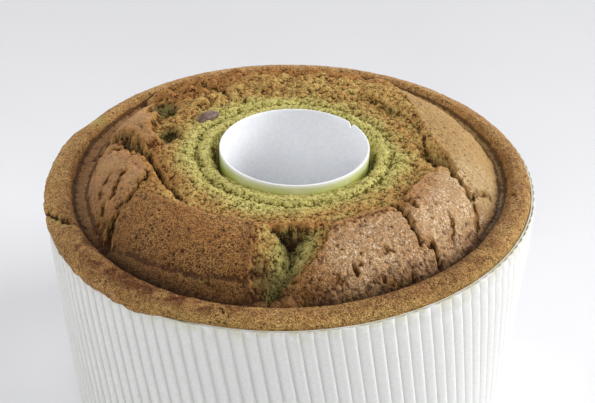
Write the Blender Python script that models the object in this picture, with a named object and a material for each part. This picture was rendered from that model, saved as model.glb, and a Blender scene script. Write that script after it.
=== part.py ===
"""Green tea chiffon cake, still in the white paper mould that it was baked in.

The mould is a corrugated paper wall on a flat card base, with a card tube up the middle.
The cake fills it as one solid and has risen above the wall: a rolled lip round the edge,
a groove inside the lip, a domed crust that is torn into plates, a wedge-shaped split at
the front, and open crumb from the plates' inner edge to the tube. One bean sits half
sunk in the crumb.

Sizes below are in millimetres and angles in degrees. An angle is counted from the front,
-Y, and grows towards +X, so 90 is the right side and 180 the back. Angles and radii are
taken about the tube's axis. The origin is on the floor, under the middle of the wall's
top edge, and the tube stands a little to the right of it.
"""

import math

import bmesh
import bpy
import numpy as np
from mathutils import Matrix

MM = 0.001  # Blender works in metres
GAP = 0.3  # clear space between neighbouring pieces
AXIS_X = 1.3  # the tube's axis is this far to the right of the origin

# Paper mould
WALL_HEIGHT = 85.0
TOP_RADIUS = 85.0  # outside of the flat liner at the top edge
BASE_RADIUS = 77.7  # the same at the floor
LINER = 0.5
FLUTE_DEPTH = 1.3
FLUTES = 124
FLUTE_SHAPE = (0.0, 0.75, 1.0)  # one flute: valley, broad face, steep crest
CENTRE_SHIFT = (1.26, -91.0)  # the top edge sits off the tube's axis by this, towards this
OVAL = (1.17, -32.0)  # the top edge is longer by this, along this direction
OVAL_AT_BASE = 0.4  # share of both that is left at the floor
EDGE_TILT = (0.39, 127.0)  # the top edge is higher by this, on this side
EDGE_WAVE = (0.63, 33.0)  # and rises twice round by this, first here
# How far the top edge stands in from that oval: (angle, distance)
EDGE_TRIM = ((-180, 0.5), (-130, 0.4), (-100, 0.8), (-75, 0.8), (-50, 0.3), (-20, 0.0), (130, 0.1),
             (160, 0.4))
BASE_THICKNESS = 1.2
BASE_SIDES = 60

# Centre tube
TUBE_HEIGHT = 100.0
TUBE_RADIUS = 25.9
TUBE_WALL = 0.7
TUBE_SIDES = 72
NOTCH = (129.0, 1.6, 2.2)  # angle, half width in degrees, depth

# Cake: heights are above the wall's top edge, tables go round it as (angle, value)
DETAILED = (-112.0, 102.0)  # from angle, to angle: the divisions are finer here
FINE_STEP = 2.65
PLAIN_STEPS = 20
DOME_TOP = 14.9
DOME_START = 46.0  # the dome falls away outside this radius
# The higher, the puffier
DOME_CURVE = ((-180, 2.25), (-130, 2.7), (-100, 3.2), (-68, 3.2), (-56, 3.0), (-20, 2.8), (0, 2.4),
              (30, 2.7), (100, 2.6), (150, 2.25))
# Radius where the crust is torn
CRUST_EDGE = ((-180, 62), (-158, 66), (-145, 72), (-131, 68), (-122, 57), (-104, 53), (-98, 50.5),
              (-88, 54), (-76, 52), (-66, 55), (-51, 54.2), (-30, 50.4), (14, 50), (29, 47.8), (47, 49),
              (60, 47), (80, 53), (105, 48), (125, 52), (145, 63), (156, 70), (165, 62))
# Radius where the dome ends
PLATE_FOOT = ((-180, 75.5), (-140, 75), (-120, 74.3), (-104, 73.2), (-98, 72.5), (-64, 72.5),
              (-58, 74.2), (-37, 74.8), (-16, 74.2), (2, 73.6), (14, 72.6), (27, 71.6), (45, 70.9),
              (66, 70.4), (85, 72.2), (100, 73.8), (122, 75.3), (142, 76.5))
# Radius of the lip's foot
GROOVE = ((-180, 79), (-140, 78), (-88, 76.7), (-37, 76.4), (-16, 75.6), (2, 75), (14, 73.8),
          (27, 72.8), (45, 72.2), (66, 71.8), (85, 73.4), (100, 75), (122, 76.5), (142, 78.4))
# Height of the groove's floor
FLOOR = ((-180, 0.6), (-130, 0.2), (-100, -0.4), (-66, -0.8), (-48, -2.6), (30, -2.6), (50, -1.8),
         (80, -1.0), (105, -0.2), (130, 0.5))
LIP_IN = 5.2  # the lip's crest is this far inside the liner's outside
LIP_HEIGHT = ((-180, 2.4), (-150, 2.8), (-125, 3.3), (-95, 3.6), (-60, 3.8), (60, 3.8), (100, 3.6),
              (150, 2.9))
LIP_FOOT = -2.6
CRUMB_RADII = (26.0, 29.0, 31.0, 33.8, 37.0, 46.0, 52.0, 58.0, 64.0, 70.0, 74.0, 78.0)
CRUMB_HEIGHTS = (11.6, 12.6, 13.1, 11.9, 12.9, 13.2, 12.3, 10.8, 8.6, 6.0, 4.0, 2.0)
MOAT = (27.0, 1.6, 4.0)  # gap beside the tube: radius, half width, depth
MOAT_SIDES = ((-84.0, 26.0), (78.0, 22.0))  # where it opens: angle, half width
# Where the rings lie: 0 to 1 from the tube to the crust's torn edge, to 2 at the plates' foot,
# to 3 at the lip's foot and to 4 at its crest
RINGS = (0.08, 0.18, 0.33, 0.5, 0.66, 0.82, 0.96, 1.05, 1.2, 1.38, 1.56, 1.73, 1.88, 2.0, 3.0, 3.25,
         3.6, 4.0)

# Crust plates: from angle, to angle, lift at the inner edge, step down to the crumb
PLATES = (
    (-131.0, -103.0, -0.4, 1.6),
    (-103.0, -64.0, 0.9, 3.6),
    (-64.0, -13.0, 1.5, 1.6),
    (14.0, 41.0, 0.9, 1.4),
    (41.0, 79.0, 0.8, 1.2),
    (79.0, 150.0, 0.2, 1.0),
)
PLATE_FADE = 4.0  # degrees over which a plate's end meets the next one

# Cracks between the plates: (angle, radius) points, half width, depth
CRACKS = (
    (((-91.0, 53.0), (-96.0, 58.0), (-101.0, 60.7), (-104.0, 66.8), (-102.0, 71.0)), 2.7, 4.4),
    (((-63.0, 60.0), (-62.2, 64.4), (-60.4, 68.8), (-57.5, 73.6)), 2.3, 3.8),
    (((43.6, 48.0), (42.0, 53.4), (41.3, 59.0), (39.4, 63.4)), 2.4, 3.8),
    (((43.8, 65.2), (43.6, 67.8), (43.2, 71.0)), 2.2, 3.0),
    (((86.3, 48.3), (80.5, 53.8), (75.4, 55.6), (71.0, 62.4), (74.5, 64.6), (79.3, 68.5)), 2.4, 3.8),
)
# Hollows torn out of the crumb: angle, radius, half width, depth
HOLLOWS = ((-122.0, 56.0, 6.5, 5.5), (-105.0, 46.5, 4.5, 4.5), (84.0, 49.0, 4.5, 3.5))
# Wedge-shaped split at the front: its left side, its right side and its valley, as
# (angle at the crumb, angle at the groove), and how deep the valley is
SPLIT_LEFT = (-14.0, -11.8)
SPLIT_RIGHT = (14.6, -4.2)
SPLIT_VALLEY = (-2.8, -7.8)
SPLIT_RADII = (50.0, 71.0)
SPLIT_DEPTH = (9.2, 3.2)
# Lumps in the torn crumb: waves round, waves outwards per millimetre, height
LUMPS = ((7.0, 0.50, 0.45), (13.0, 0.33, 0.35), (9.0, 0.71, 0.40))
# Where the lip hangs over the outside of the wall: from angle, to angle, and the turn
# over which it reaches out and then drops
HANG = (-112.0, -20.0)
HANG_OUT = 9.0
HANG_DROP = 2.6

# Bean
BEAN_SPOT = (-125.5, 38.2)  # angle, radius
BEAN_SIZE = (9.2, 4.6, 4.4)
BEAN_TURN = -12.0  # away from the ring's direction
BEAN_SUNK = 0.55  # share of its height below the crumb
BEAN_RINGS = 10
BEAN_SIDES = 18

# Colours, roughness
CAKE_COLOUR = (0.42, 0.22, 0.10, 1.0)
PAPER_COLOUR = (0.86, 0.87, 0.86, 1.0)
CARD_COLOUR = (0.88, 0.88, 0.90, 1.0)
BEAN_COLOUR = (0.17, 0.12, 0.13, 1.0)


# ---------- small helpers ----------

def rise(low, high, x):
    """0 below low, 1 above high, smooth in between."""
    t = np.clip((x - low) / (high - low), 0.0, 1.0)
    return t * t * (3.0 - 2.0 * t)


def hill(x, width):
    """1 at x = 0, falling smoothly to about 0 at two widths."""
    return np.exp(-(x / width) ** 2)


def turn(angle, towards):
    """Angle from towards, between -180 and 180."""
    return (angle - towards + 180.0) % 360.0 - 180.0


def between(angle, start, end, fade):
    """1 from start to end, 0 outside, smooth over fade at each end."""
    into = (angle - start) % 360.0
    span = (end - start) % 360.0
    before = 360.0 - into
    inside = np.minimum(into, span - into)
    outside = -np.minimum(before, np.abs(into - span))
    depth = np.where(into <= span, inside, outside)
    return rise(-0.5 * fade, 0.5 * fade, depth)


def circle(steps):
    """Angles of a ring's points, in degrees."""
    return np.arange(steps) * 360.0 / steps


def table(angle, points):
    """Reads a table of (angle, value) points all the way round."""
    angles, values = zip(*points)
    return np.interp(angle, angles, values, period=360.0)


def ring(angle, radius, height):
    """A ring's points, in metres."""
    a = np.radians(angle)
    radius = np.broadcast_to(radius, a.shape)
    height = np.broadcast_to(height, a.shape)
    return np.stack([AXIS_X + radius * np.sin(a), -radius * np.cos(a), height], axis=-1) * MM


# ---------- the mould's shape ----------

def out_of_round(angle):
    shift, shift_side = CENTRE_SHIFT
    oval, oval_side = OVAL
    return (shift * np.cos(np.radians(angle - shift_side))
            + oval * np.cos(np.radians(2.0 * (angle - oval_side))))


def wall_radius(angle, z):
    """Outside of the flat liner at a height above the floor."""
    t = z / WALL_HEIGHT
    cone = BASE_RADIUS + (TOP_RADIUS - BASE_RADIUS) * t - table(angle, EDGE_TRIM) * t * t
    return cone + out_of_round(angle) * (OVAL_AT_BASE + (1.0 - OVAL_AT_BASE) * t)


def edge_height(angle):
    """Height of the wall's top edge above the floor."""
    tilt, tilt_side = EDGE_TILT
    wave, wave_side = EDGE_WAVE
    return (WALL_HEIGHT + tilt * np.cos(np.radians(angle - tilt_side))
            + wave * np.cos(np.radians(2.0 * (angle - wave_side))))


# ---------- the cake's top ----------

def distance_to_path(x, y, path):
    """Shortest distance from each point to a path of (angle, radius) points."""
    corners = [(r * math.sin(math.radians(a)), -r * math.cos(math.radians(a))) for a, r in path]
    best = np.full(np.shape(x), np.inf)
    for (ax, ay), (bx, by) in zip(corners, corners[1:]):
        dx, dy = bx - ax, by - ay
        t = np.clip(((x - ax) * dx + (y - ay) * dy) / (dx * dx + dy * dy), 0.0, 1.0)
        best = np.minimum(best, np.hypot(x - ax - t * dx, y - ay - t * dy))
    return best


def crust_share(angle):
    """1 where a crust plate covers the dome, 0 in the split and at the torn back."""
    share = np.zeros(np.shape(angle))
    for start, end, _, _ in PLATES:
        share = np.maximum(share, between(angle, start, end, PLATE_FADE))
    return share


def plate_heights(angle):
    """Lift of the plates' inner edge, and the step from it down to the crumb."""
    lift = np.zeros(np.shape(angle))
    step = np.zeros(np.shape(angle))
    for start, end, plate_lift, plate_step in PLATES:
        share = between(angle, start, end, PLATE_FADE)
        lift += plate_lift * share
        step += plate_step * share
    return lift, step


def split_depth(angle, radius):
    """How far the wedge-shaped split at the front goes below the dome."""
    t = np.clip((radius - SPLIT_RADII[0]) / (SPLIT_RADII[1] - SPLIT_RADII[0]), 0.0, 1.0)
    left = SPLIT_LEFT[0] + (SPLIT_LEFT[1] - SPLIT_LEFT[0]) * t
    right = SPLIT_RIGHT[0] + (SPLIT_RIGHT[1] - SPLIT_RIGHT[0]) * t
    valley = SPLIT_VALLEY[0] + (SPLIT_VALLEY[1] - SPLIT_VALLEY[0]) * t
    depth = SPLIT_DEPTH[0] + (SPLIT_DEPTH[1] - SPLIT_DEPTH[0]) * t
    from_left = np.clip((turn(angle, left)) / (valley - left), 0.0, 1.0)
    from_right = np.clip((turn(right, angle)) / (right - valley), 0.0, 1.0)
    across = np.minimum(from_left, from_right)
    along = rise(SPLIT_RADII[0] - 4.0, SPLIT_RADII[0], radius) * (1.0 - rise(70.0, 73.5, radius))
    return depth * across * along


def crest_radius(angle):
    """Where the lip is highest."""
    return wall_radius(angle, WALL_HEIGHT) - LIP_IN


def ring_radius(angle, share):
    """Radius of a ring of the cake's top, by its share as RINGS counts it."""
    stops = (
        np.full(angle.shape, TUBE_RADIUS + GAP),
        table(angle, CRUST_EDGE),
        table(angle, PLATE_FOOT),
        table(angle, GROOVE),
        crest_radius(angle),
    )
    part = min(int(share), len(stops) - 2)
    return stops[part] + (stops[part + 1] - stops[part]) * (share - part)


def cake_top(angle, radius):
    """Height of the cake above the wall's top edge, inside the lip's crest."""
    x = radius * np.sin(np.radians(angle))
    y = -radius * np.cos(np.radians(angle))
    lift, step = plate_heights(angle)
    torn_edge = table(angle, CRUST_EDGE)
    out = np.maximum(radius - DOME_START, 0.0) / (table(angle, PLATE_FOOT) - DOME_START)
    dome = DOME_TOP - (DOME_TOP - LIP_FOOT) * out ** table(angle, DOME_CURVE)
    plate = dome + lift * (1.0 - rise(torn_edge, torn_edge + 14.0, radius))
    crumb = np.interp(radius, CRUMB_RADII, CRUMB_HEIGHTS)
    crumb = crumb - np.maximum(step - 1.2, 0.0) * hill(radius - torn_edge, 6.0)
    lumps = np.zeros(np.shape(radius))
    for waves, outwards, size in LUMPS:
        lumps += size * np.sin(np.radians(angle) * waves + radius * outwards)
    crumb = crumb + lumps * rise(34.0, 42.0, radius) * (1.0 - rise(72.0, 77.0, radius))
    on_plate = crust_share(angle) * rise(torn_edge - 0.5, torn_edge + 0.5, radius)
    top = crumb + (plate - crumb) * on_plate
    top = top - split_depth(angle, radius)
    for path, half_width, depth in CRACKS:
        away = distance_to_path(x, y, path)
        top = top - depth * (1.0 - rise(0.2 * half_width, half_width, away))
    for spot, spot_radius, half_width, depth in HOLLOWS:
        away = distance_to_path(x, y, ((spot, spot_radius), (spot, spot_radius + 0.1)))
        top = top - depth * hill(away, half_width)
    moat_radius, moat_width, moat_depth = MOAT
    open_side = np.zeros(np.shape(radius))
    for side, half in MOAT_SIDES:
        open_side = np.maximum(open_side, hill(turn(angle, side), half))
    top = top - moat_depth * open_side * hill(radius - moat_radius, moat_width)
    crest = crest_radius(angle)
    high = table(angle, LIP_HEIGHT)
    reach = np.clip((crest - radius) / (crest - table(angle, GROOVE)), 0.0, 1.0)
    lip = high - (high - LIP_FOOT) * (1.0 - np.sqrt(1.0 - reach ** 2.4))
    return np.maximum(np.maximum(top, lip), table(angle, FLOOR))


def lip_rings(angle):
    """The lip from its crest outwards, over the wall where it hangs, and back inside it."""
    edge = edge_height(angle)
    inside = wall_radius(angle, WALL_HEIGHT) - LINER - GAP
    outside = wall_radius(angle, WALL_HEIGHT) + FLUTE_DEPTH + GAP + 0.05
    out = between(angle, HANG[0], HANG[1], HANG_OUT)
    drop = HANG_DROP * between(angle, HANG[0] + HANG_OUT, HANG[1] - HANG_OUT, HANG_OUT)
    reach = out * (outside - inside)
    crest = crest_radius(angle)
    high = table(angle, LIP_HEIGHT)
    body = out * 0.4
    return [
        ring(angle, crest + 0.45 * (inside + reach - crest), edge + 0.9 * high),
        ring(angle, crest + 0.82 * (inside + reach - crest), edge + 0.66 * high),
        ring(angle, inside + reach + body, edge + 1.5),
        ring(angle, inside + reach + body + 0.1 * out, edge + 1.0 - 0.7 * drop),
        ring(angle, inside + reach + 0.6 * body, edge + 0.75 - drop),
        ring(angle, inside + reach, edge + 0.6 - drop),
        ring(angle, inside + reach, edge + GAP + 0.1),
        ring(angle, inside, edge + GAP),
    ]


# ---------- meshes ----------

def closed_solid(name, rings, material):
    """A solid of rings of points, each joined to the next and the last to the first."""
    count = len(rings[0])
    mesh = bmesh.new()
    points = [[mesh.verts.new(p) for p in r] for r in rings]
    for here, after in zip(points, points[1:] + points[:1]):
        for i in range(count):
            j = (i + 1) % count
            mesh.faces.new((here[i], here[j], after[j], after[i]))
    bmesh.ops.triangulate(mesh, faces=mesh.faces)
    bmesh.ops.recalc_face_normals(mesh, faces=mesh.faces)
    return add_object(name, mesh, material)


def add_object(name, mesh, material):
    data = bpy.data.meshes.new(name)
    mesh.to_mesh(data)
    mesh.free()
    data.materials.append(material)
    data.shade_smooth()
    data.set_sharp_from_angle(angle=math.radians(40.0))
    thing = bpy.data.objects.new(name, data)
    bpy.context.collection.objects.link(thing)
    return thing


def make_material(name, colour, roughness):
    material = bpy.data.materials.new(name)
    material.use_nodes = True
    shader = material.node_tree.nodes["Principled BSDF"]
    shader.inputs["Base Color"].default_value = colour
    shader.inputs["Roughness"].default_value = roughness
    shader.inputs["Metallic"].default_value = 0.0
    return material


def make_wall():
    """Corrugated wall: a flat liner inside and flutes outside."""
    angle = circle(FLUTES * len(FLUTE_SHAPE))
    flute = FLUTE_DEPTH * np.tile(FLUTE_SHAPE, FLUTES)
    edge = edge_height(angle)
    low = wall_radius(angle, 0.0)
    high = wall_radius(angle, WALL_HEIGHT)
    rings = [
        ring(angle, low - LINER, 0.0),
        ring(angle, low + flute, 0.0),
        ring(angle, high + flute, edge),
        ring(angle, high - LINER, edge),
    ]
    return closed_solid("paper_wall", rings, make_material("paper", PAPER_COLOUR, 0.85))


def make_base():
    """Flat card disc inside the wall's foot, with the tube standing in its hole."""
    angle = circle(BASE_SIDES)
    hole = TUBE_RADIUS + GAP
    rim = wall_radius(angle, 0.0) - LINER - GAP
    rings = [
        ring(angle, hole, 0.0),
        ring(angle, rim, 0.0),
        ring(angle, rim, BASE_THICKNESS),
        ring(angle, hole, BASE_THICKNESS),
    ]
    return closed_solid("paper_base", rings, make_material("base_card", CARD_COLOUR, 0.85))


def make_tube():
    """Card tube, open at both ends, with a small nick in its top edge."""
    nick, half, depth = NOTCH
    angle = circle(TUBE_SIDES)
    angle = angle[np.abs(turn(angle, nick)) > half + 1.0]
    nick_angles = np.array([nick - half, nick - 0.2 * half, nick + 0.2 * half, nick + half])
    angle = np.sort(np.concatenate([angle, nick_angles]))
    inside_nick = np.abs(turn(angle, nick)) < 0.5 * half
    top = TUBE_HEIGHT - depth * inside_nick
    bore = TUBE_RADIUS - TUBE_WALL
    rings = [
        ring(angle, bore, 0.0),
        ring(angle, TUBE_RADIUS, 0.0),
        ring(angle, TUBE_RADIUS, top),
        ring(angle, bore, top),
    ]
    return closed_solid("paper_tube", rings, make_material("tube_card", CARD_COLOUR, 0.8))


def bean_mesh(grow):
    """Kidney-shaped bean, larger by grow all round."""
    length, width, height = (0.5 * size + grow for size in BEAN_SIZE)
    mesh = bmesh.new()
    bmesh.ops.create_uvsphere(mesh, u_segments=BEAN_SIDES, v_segments=BEAN_RINGS, radius=1.0)
    for point in mesh.verts:
        along, across, up = point.co
        bend = 0.22 * width * (along * along - 0.5)
        point.co = (along * length, across * width + bend, up * height)
    angle, radius = BEAN_SPOT
    ground = WALL_HEIGHT + float(cake_top(np.array([angle]), np.array([radius]))[0])
    centre = ring(np.array([angle]), radius, ground + BEAN_SIZE[2] * (0.5 - BEAN_SUNK))[0]
    place = Matrix.Translation(centre) @ Matrix.Rotation(math.radians(angle + BEAN_TURN), 4, "Z")
    bmesh.ops.transform(mesh, matrix=place @ Matrix.Scale(MM, 4), verts=mesh.verts)
    bmesh.ops.triangulate(mesh, faces=mesh.faces)
    return mesh


def make_bean():
    return add_object("bean", bean_mesh(0.0), make_material("bean", BEAN_COLOUR, 0.55))


def make_cake():
    """The whole cake as one solid, with a hollow for the bean."""
    start, end = DETAILED
    plain = np.linspace(end, start + 360.0, PLAIN_STEPS, endpoint=False)
    angle = turn(np.concatenate([np.arange(start, end, FINE_STEP), plain]), 0.0)
    edge = edge_height(angle)
    tube_side = TUBE_RADIUS + GAP
    rings = [ring(angle, tube_side, BASE_THICKNESS + GAP)]
    inner = cake_top(angle, np.full(angle.shape, tube_side))
    rings.append(ring(angle, tube_side, WALL_HEIGHT + inner))
    for share in RINGS:
        radius = ring_radius(angle, share)
        ground = WALL_HEIGHT + (edge - WALL_HEIGHT) * rise(40.0, 75.0, radius)
        rings.append(ring(angle, radius, ground + cake_top(angle, radius)))
    rings += lip_rings(angle)
    foot = BASE_THICKNESS + GAP
    rings.append(ring(angle, wall_radius(angle, foot) - LINER - GAP, foot))
    cake = closed_solid("cake", rings, make_material("cake", CAKE_COLOUR, 0.8))

    cutter = add_object("bean_hollow", bean_mesh(GAP), cake.active_material)
    cutter.hide_render = True
    cutter.display_type = "WIRE"
    cut = cake.modifiers.new("bean_hollow", "BOOLEAN")
    cut.operation = "DIFFERENCE"
    cut.solver = "EXACT"
    cut.object = cutter
    return cake


def main():
    for thing in list(bpy.data.objects):
        bpy.data.objects.remove(thing, do_unlink=True)
    make_wall()
    make_base()
    make_tube()
    make_bean()
    make_cake()


main()
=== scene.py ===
"""The looks of a green tea chiffon cake that is still in its white paper mould.

Sizes are in millimetres and angles in degrees; they become metres where a mesh is made.
An angle is counted from the front, -Y, and grows towards +X, so 90 is the right side and
180 the back. Angles and radii are taken about the tube's axis. A height is counted from
the floor, or from the wall's top edge where it says so.
"""

import functools
import itertools
import math
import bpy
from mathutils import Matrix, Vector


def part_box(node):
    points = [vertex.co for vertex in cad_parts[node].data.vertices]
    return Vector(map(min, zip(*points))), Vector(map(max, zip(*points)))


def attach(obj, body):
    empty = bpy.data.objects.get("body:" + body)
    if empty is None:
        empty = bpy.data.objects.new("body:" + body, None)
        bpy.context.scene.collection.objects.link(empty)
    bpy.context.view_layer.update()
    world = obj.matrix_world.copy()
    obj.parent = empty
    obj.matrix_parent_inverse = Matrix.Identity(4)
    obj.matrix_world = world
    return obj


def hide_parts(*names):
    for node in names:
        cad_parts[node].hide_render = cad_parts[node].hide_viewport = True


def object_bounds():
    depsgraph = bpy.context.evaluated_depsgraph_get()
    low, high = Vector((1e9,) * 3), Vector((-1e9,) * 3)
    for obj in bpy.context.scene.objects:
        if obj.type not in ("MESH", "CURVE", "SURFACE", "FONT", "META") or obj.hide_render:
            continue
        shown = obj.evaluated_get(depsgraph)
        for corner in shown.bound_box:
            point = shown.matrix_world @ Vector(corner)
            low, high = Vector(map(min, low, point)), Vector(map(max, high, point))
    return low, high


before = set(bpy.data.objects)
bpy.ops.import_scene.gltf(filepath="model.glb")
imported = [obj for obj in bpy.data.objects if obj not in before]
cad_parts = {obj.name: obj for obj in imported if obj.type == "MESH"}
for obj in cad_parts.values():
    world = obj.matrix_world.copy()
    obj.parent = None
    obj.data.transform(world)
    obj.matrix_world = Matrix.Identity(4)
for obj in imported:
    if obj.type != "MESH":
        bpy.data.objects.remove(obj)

from types import SimpleNamespace

import bmesh
import bpy
import numpy as np
from mathutils import Matrix, Vector

CAD_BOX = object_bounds()
MM = 0.001

# ---------- sizes of the mould, as in the CAD model ----------

TUBE_LOW, TUBE_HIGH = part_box("paper_tube")
AXIS_X = 0.5 * (TUBE_LOW[0] + TUBE_HIGH[0]) / MM
TUBE_HEIGHT = TUBE_HIGH[2] / MM
TUBE_RADIUS = 0.5 * (TUBE_HIGH[1] - TUBE_LOW[1]) / MM
TUBE_WALL = 0.7
TUBE_LEVELS = (0.0, 60.0, 85.0, 92.0, 96.0, 98.5)  # heights of its rings
TUBE_COUNT = 240  # points round it
SLIT = 129.0  # the side of the slit in its rim
SLIT_DEPTH = 2.2
STAIN_END = (97.5, 100.0)  # up the outside of the tube
GAP = 0.3  # clear space between neighbouring pieces
TUBE_SIDE = TUBE_RADIUS + GAP  # the cake's inner side
WALL_HEIGHT = 85.0
TOP_RADIUS = 85.0  # outside of the flat liner at the top edge
BASE_RADIUS = 77.7  # the same at the floor
LINER = 0.5  # thickness of the flat liner
LINER_LEVELS = (1.0, 0.985, 0.96, 0.9, 0.0)  # heights of its rings, as shares of the wall's
LINER_COUNT = 480
FLUTE_DEPTH = 1.3
# Out of round and out of level: size, and the side of the crest
CENTRE_SHIFT = (1.26, -91.0)
OVAL = (1.17, -32.0)
OVAL_AT_BASE = 0.4  # share of both at the floor
EDGE_TILT = (0.39, 127.0)
EDGE_WAVE = (0.63, 33.0)
# How far the top edge stands in from that oval: (angle, distance)
EDGE_TRIM = ((-180, 0.5), (-130, 0.4), (-100, 0.8), (-75, 0.8), (-50, 0.3), (-20, 0.0), (130, 0.1),
             (160, 0.4))
BASE_THICKNESS = 1.2

# ---------- the fluted paper ----------

SEAM = 82.0  # where the paper strip's ends meet
SEAM_GAP = 0.15
FLUTE_PITCH = 4.28
PAPER = 0.22  # thickness of the fluted sheet
# One flute: how far along it, and how far out
FLUTE_SHAPE = ((0.0, 0.0), (0.05, 0.08), (0.14, 0.3), (0.3, 0.6), (0.48, 0.83), (0.66, 0.96),
               (0.78, 1.0), (0.86, 0.93), (0.92, 0.62), (0.96, 0.25), (1.0, 0.0))
# Rings of points in the sheet, as distances below the top edge
FLUTE_ROWS = (0.0, 0.8, 2.0, 3.2, 4.6, 5.6, 6.6, 7.6, 8.8, 10.5, 14.0, 20.0, 28.0, 38.0, 50.0, 62.0,
              74.0, WALL_HEIGHT)
CRUSHED = (7.0, 2.6, 0.35)  # a band where the flutes are pressed in: how far down, width, share
# Beside the hanging lip, and under it
SHEET_DOWN = (0.05, 0.35)  # the sheet's top is this far below the wall's top edge
EDGE_FLUTES = (0.42, 0.3)  # share of the flutes' depth at the top
FREE_FROM = (4.0, 1.6)  # they have their whole depth from here down

# ---------- the cake's top: heights here are above the wall's top edge ----------

DOME_TOP = 14.9
DOME_START = 46.0
# (angle, power): the higher, the puffier the crust
DOME_CURVE = ((-180, 2.25), (-130, 2.7), (-100, 3.2), (-68, 3.2), (-56, 3), (-20, 2.8), (0, 2.4),
              (30, 2.7), (100, 2.6), (150, 2.25))
LIP_IN = 5.2  # the lip's crest is this far inside the liner's outside
LIP_FOOT = -2.6
PLATES_SINK = (62, 74)  # over these radii the plates' lifts fade
SAGGING_DEPTH = 4.0  # the crust sags beside cracks that are deeper
HANG = (-112.0, -20.0)  # here the lip hangs over the paper's edge
HANG_FADE = 9.0
HANG_DROP = ((-112, 1.6), (-75, 2.2), (-55, 3.0), (-35, 2.9), (-20, 2.0))  # how far it hangs down
PRESSED_FLUTES = 0.6  # how far the flutes stand out under the hanging lip

# Tables round the cake: (angle, radius)
CRUST_EDGE = ((-180, 62), (-158, 66), (-145, 73), (-131, 72), (-125, 56), (-112, 54), (-104, 53),
              (-98, 47.5), (-93, 52), (-90, 56), (-84, 53.5), (-76, 52), (-70, 52.2), (-66, 56),
              (-63, 57.5), (-57, 56), (-51, 54.2), (-42, 51.9), (-30, 50.4), (-20, 49.8), (-14, 49.8),
              (14, 50), (20, 48.7), (29, 47.4), (38, 48.6), (43, 50), (47, 49), (56, 47), (65, 47),
              (74, 50), (82, 54.5), (88, 52.5), (95, 49.2), (105, 48), (114, 48.5), (125, 52),
              (135, 57.4), (145, 63), (156, 70), (165, 62))
STEP_LINE = ((-92, 60), (-86, 51.3), (-76.5, 49.5), (-61.7, 49.6), (-54, 49.6), (-43, 51.2), (-36, 60))
GROOVE = ((-180, 79), (-140, 78), (-88, 76.7), (-37, 76.4), (-16, 75.6), (2, 75), (14, 73.8),
          (27, 72.8), (45, 72.2), (66, 71.8), (85, 73.4), (100, 75), (122, 76.5), (142, 78.5))
PLATE_FOOT = ((-180, 75.5), (-140, 75), (-120, 74.3), (-104, 73.2), (-98, 72.5), (-64, 72.5),
              (-58, 74.2), (-37, 74.8), (-16, 74.2), (2, 73.6), (14, 72.6), (27, 71.6), (45, 70.9),
              (66, 70.4), (85, 72.2), (100, 73.8), (122, 75.3), (142, 77))
GREEN_EDGE = ((-180, 36), (-135, 39), (-108, 38), (-85, 39.5), (-72, 38), (-58, 37.5), (-43, 37.5),
              (-23, 40.5), (3, 37), (33, 34), (60, 37), (84, 38.8), (96, 34.5), (150, 35))
# Tables round the cake: (angle, height or depth)
LIP_HEIGHT = ((-180, 2.4), (-150, 2.8), (-125, 3.3), (-95, 3.6), (-60, 3.8), (60, 3.8), (100, 3.6),
              (150, 2.9))
GROOVE_FLOOR = ((-180, 0.6), (-130, 0.2), (-100, -0.4), (-66, -0.8), (-48, -2.6), (-20, -3.6),
                (30, -3.2), (50, -1.8), (80, -1), (105, -0.2), (130, 0.5), (150, 0.6))
UNDER_CRUST = ((-180, 1), (-130, 1.5), (70, 1.6), (86, 1.2), (100, 0.35), (147, 0.3))
# How far it drops from the crust's torn edge to the crumb
STEP = ((-131, 1.6), (-104, 1.6), (-98, 3.2), (-90, 3.6), (-66, 3.6), (-58, 1.8), (-13, 1.6),
        (14, 1.4), (79, 1.2), (98, 0.5), (150, 0.4))
# How dark the groove is with moisture and painted shade, 0 to 1
MOIST_AND_SHADE = ((-180, 0), (-120, 0.15), (-75, 0.4), (-50, 0.95), (-20, 1), (30, 1), (55, 0.5),
         (90, 0.35), (115, 0.1), (140, 0))
# The torn crumb from the tube outwards: (radius, height)
CRUMB = ((26, 11.4), (28, 12), (30.2, 13.1), (31.6, 13.1), (33.8, 11.7), (36.5, 12.9), (40, 13.1),
         (46, 13.2), (52, 12.3), (58, 10.8), (64, 8.6), (70, 6), (74, 4), (78, 2), (84, 0.6))

# Lines between the crust plates: (radius, angle), from the inside outwards
LINE_AB = ((48, -90), (56.3, -92), (58.4, -96), (60.7, -101.7), (66.8, -105), (70.8, -103), (75, -103))
LINE_BC = ((48, -70), (52, -70), (56, -65), (59, -63), (65.4, -64.4), (69.4, -64), (74, -60.5))
LINE_DE = ((48, 43), (50, 43), (54.4, 40), (60.6, 40.3), (63.1, 39.8), (65.9, 44), (71.1, 44.4))
LINE_EF = ((47, 87), (48.3, 86.3), (53.8, 80.5), (54.6, 76.4), (62.4, 71), (64.6, 74.5), (68.5, 79.3))
PLATE_LIFTS = (0.4, 0, 0.9, 0.5, 0.35, -0.3)  # A to F

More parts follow.
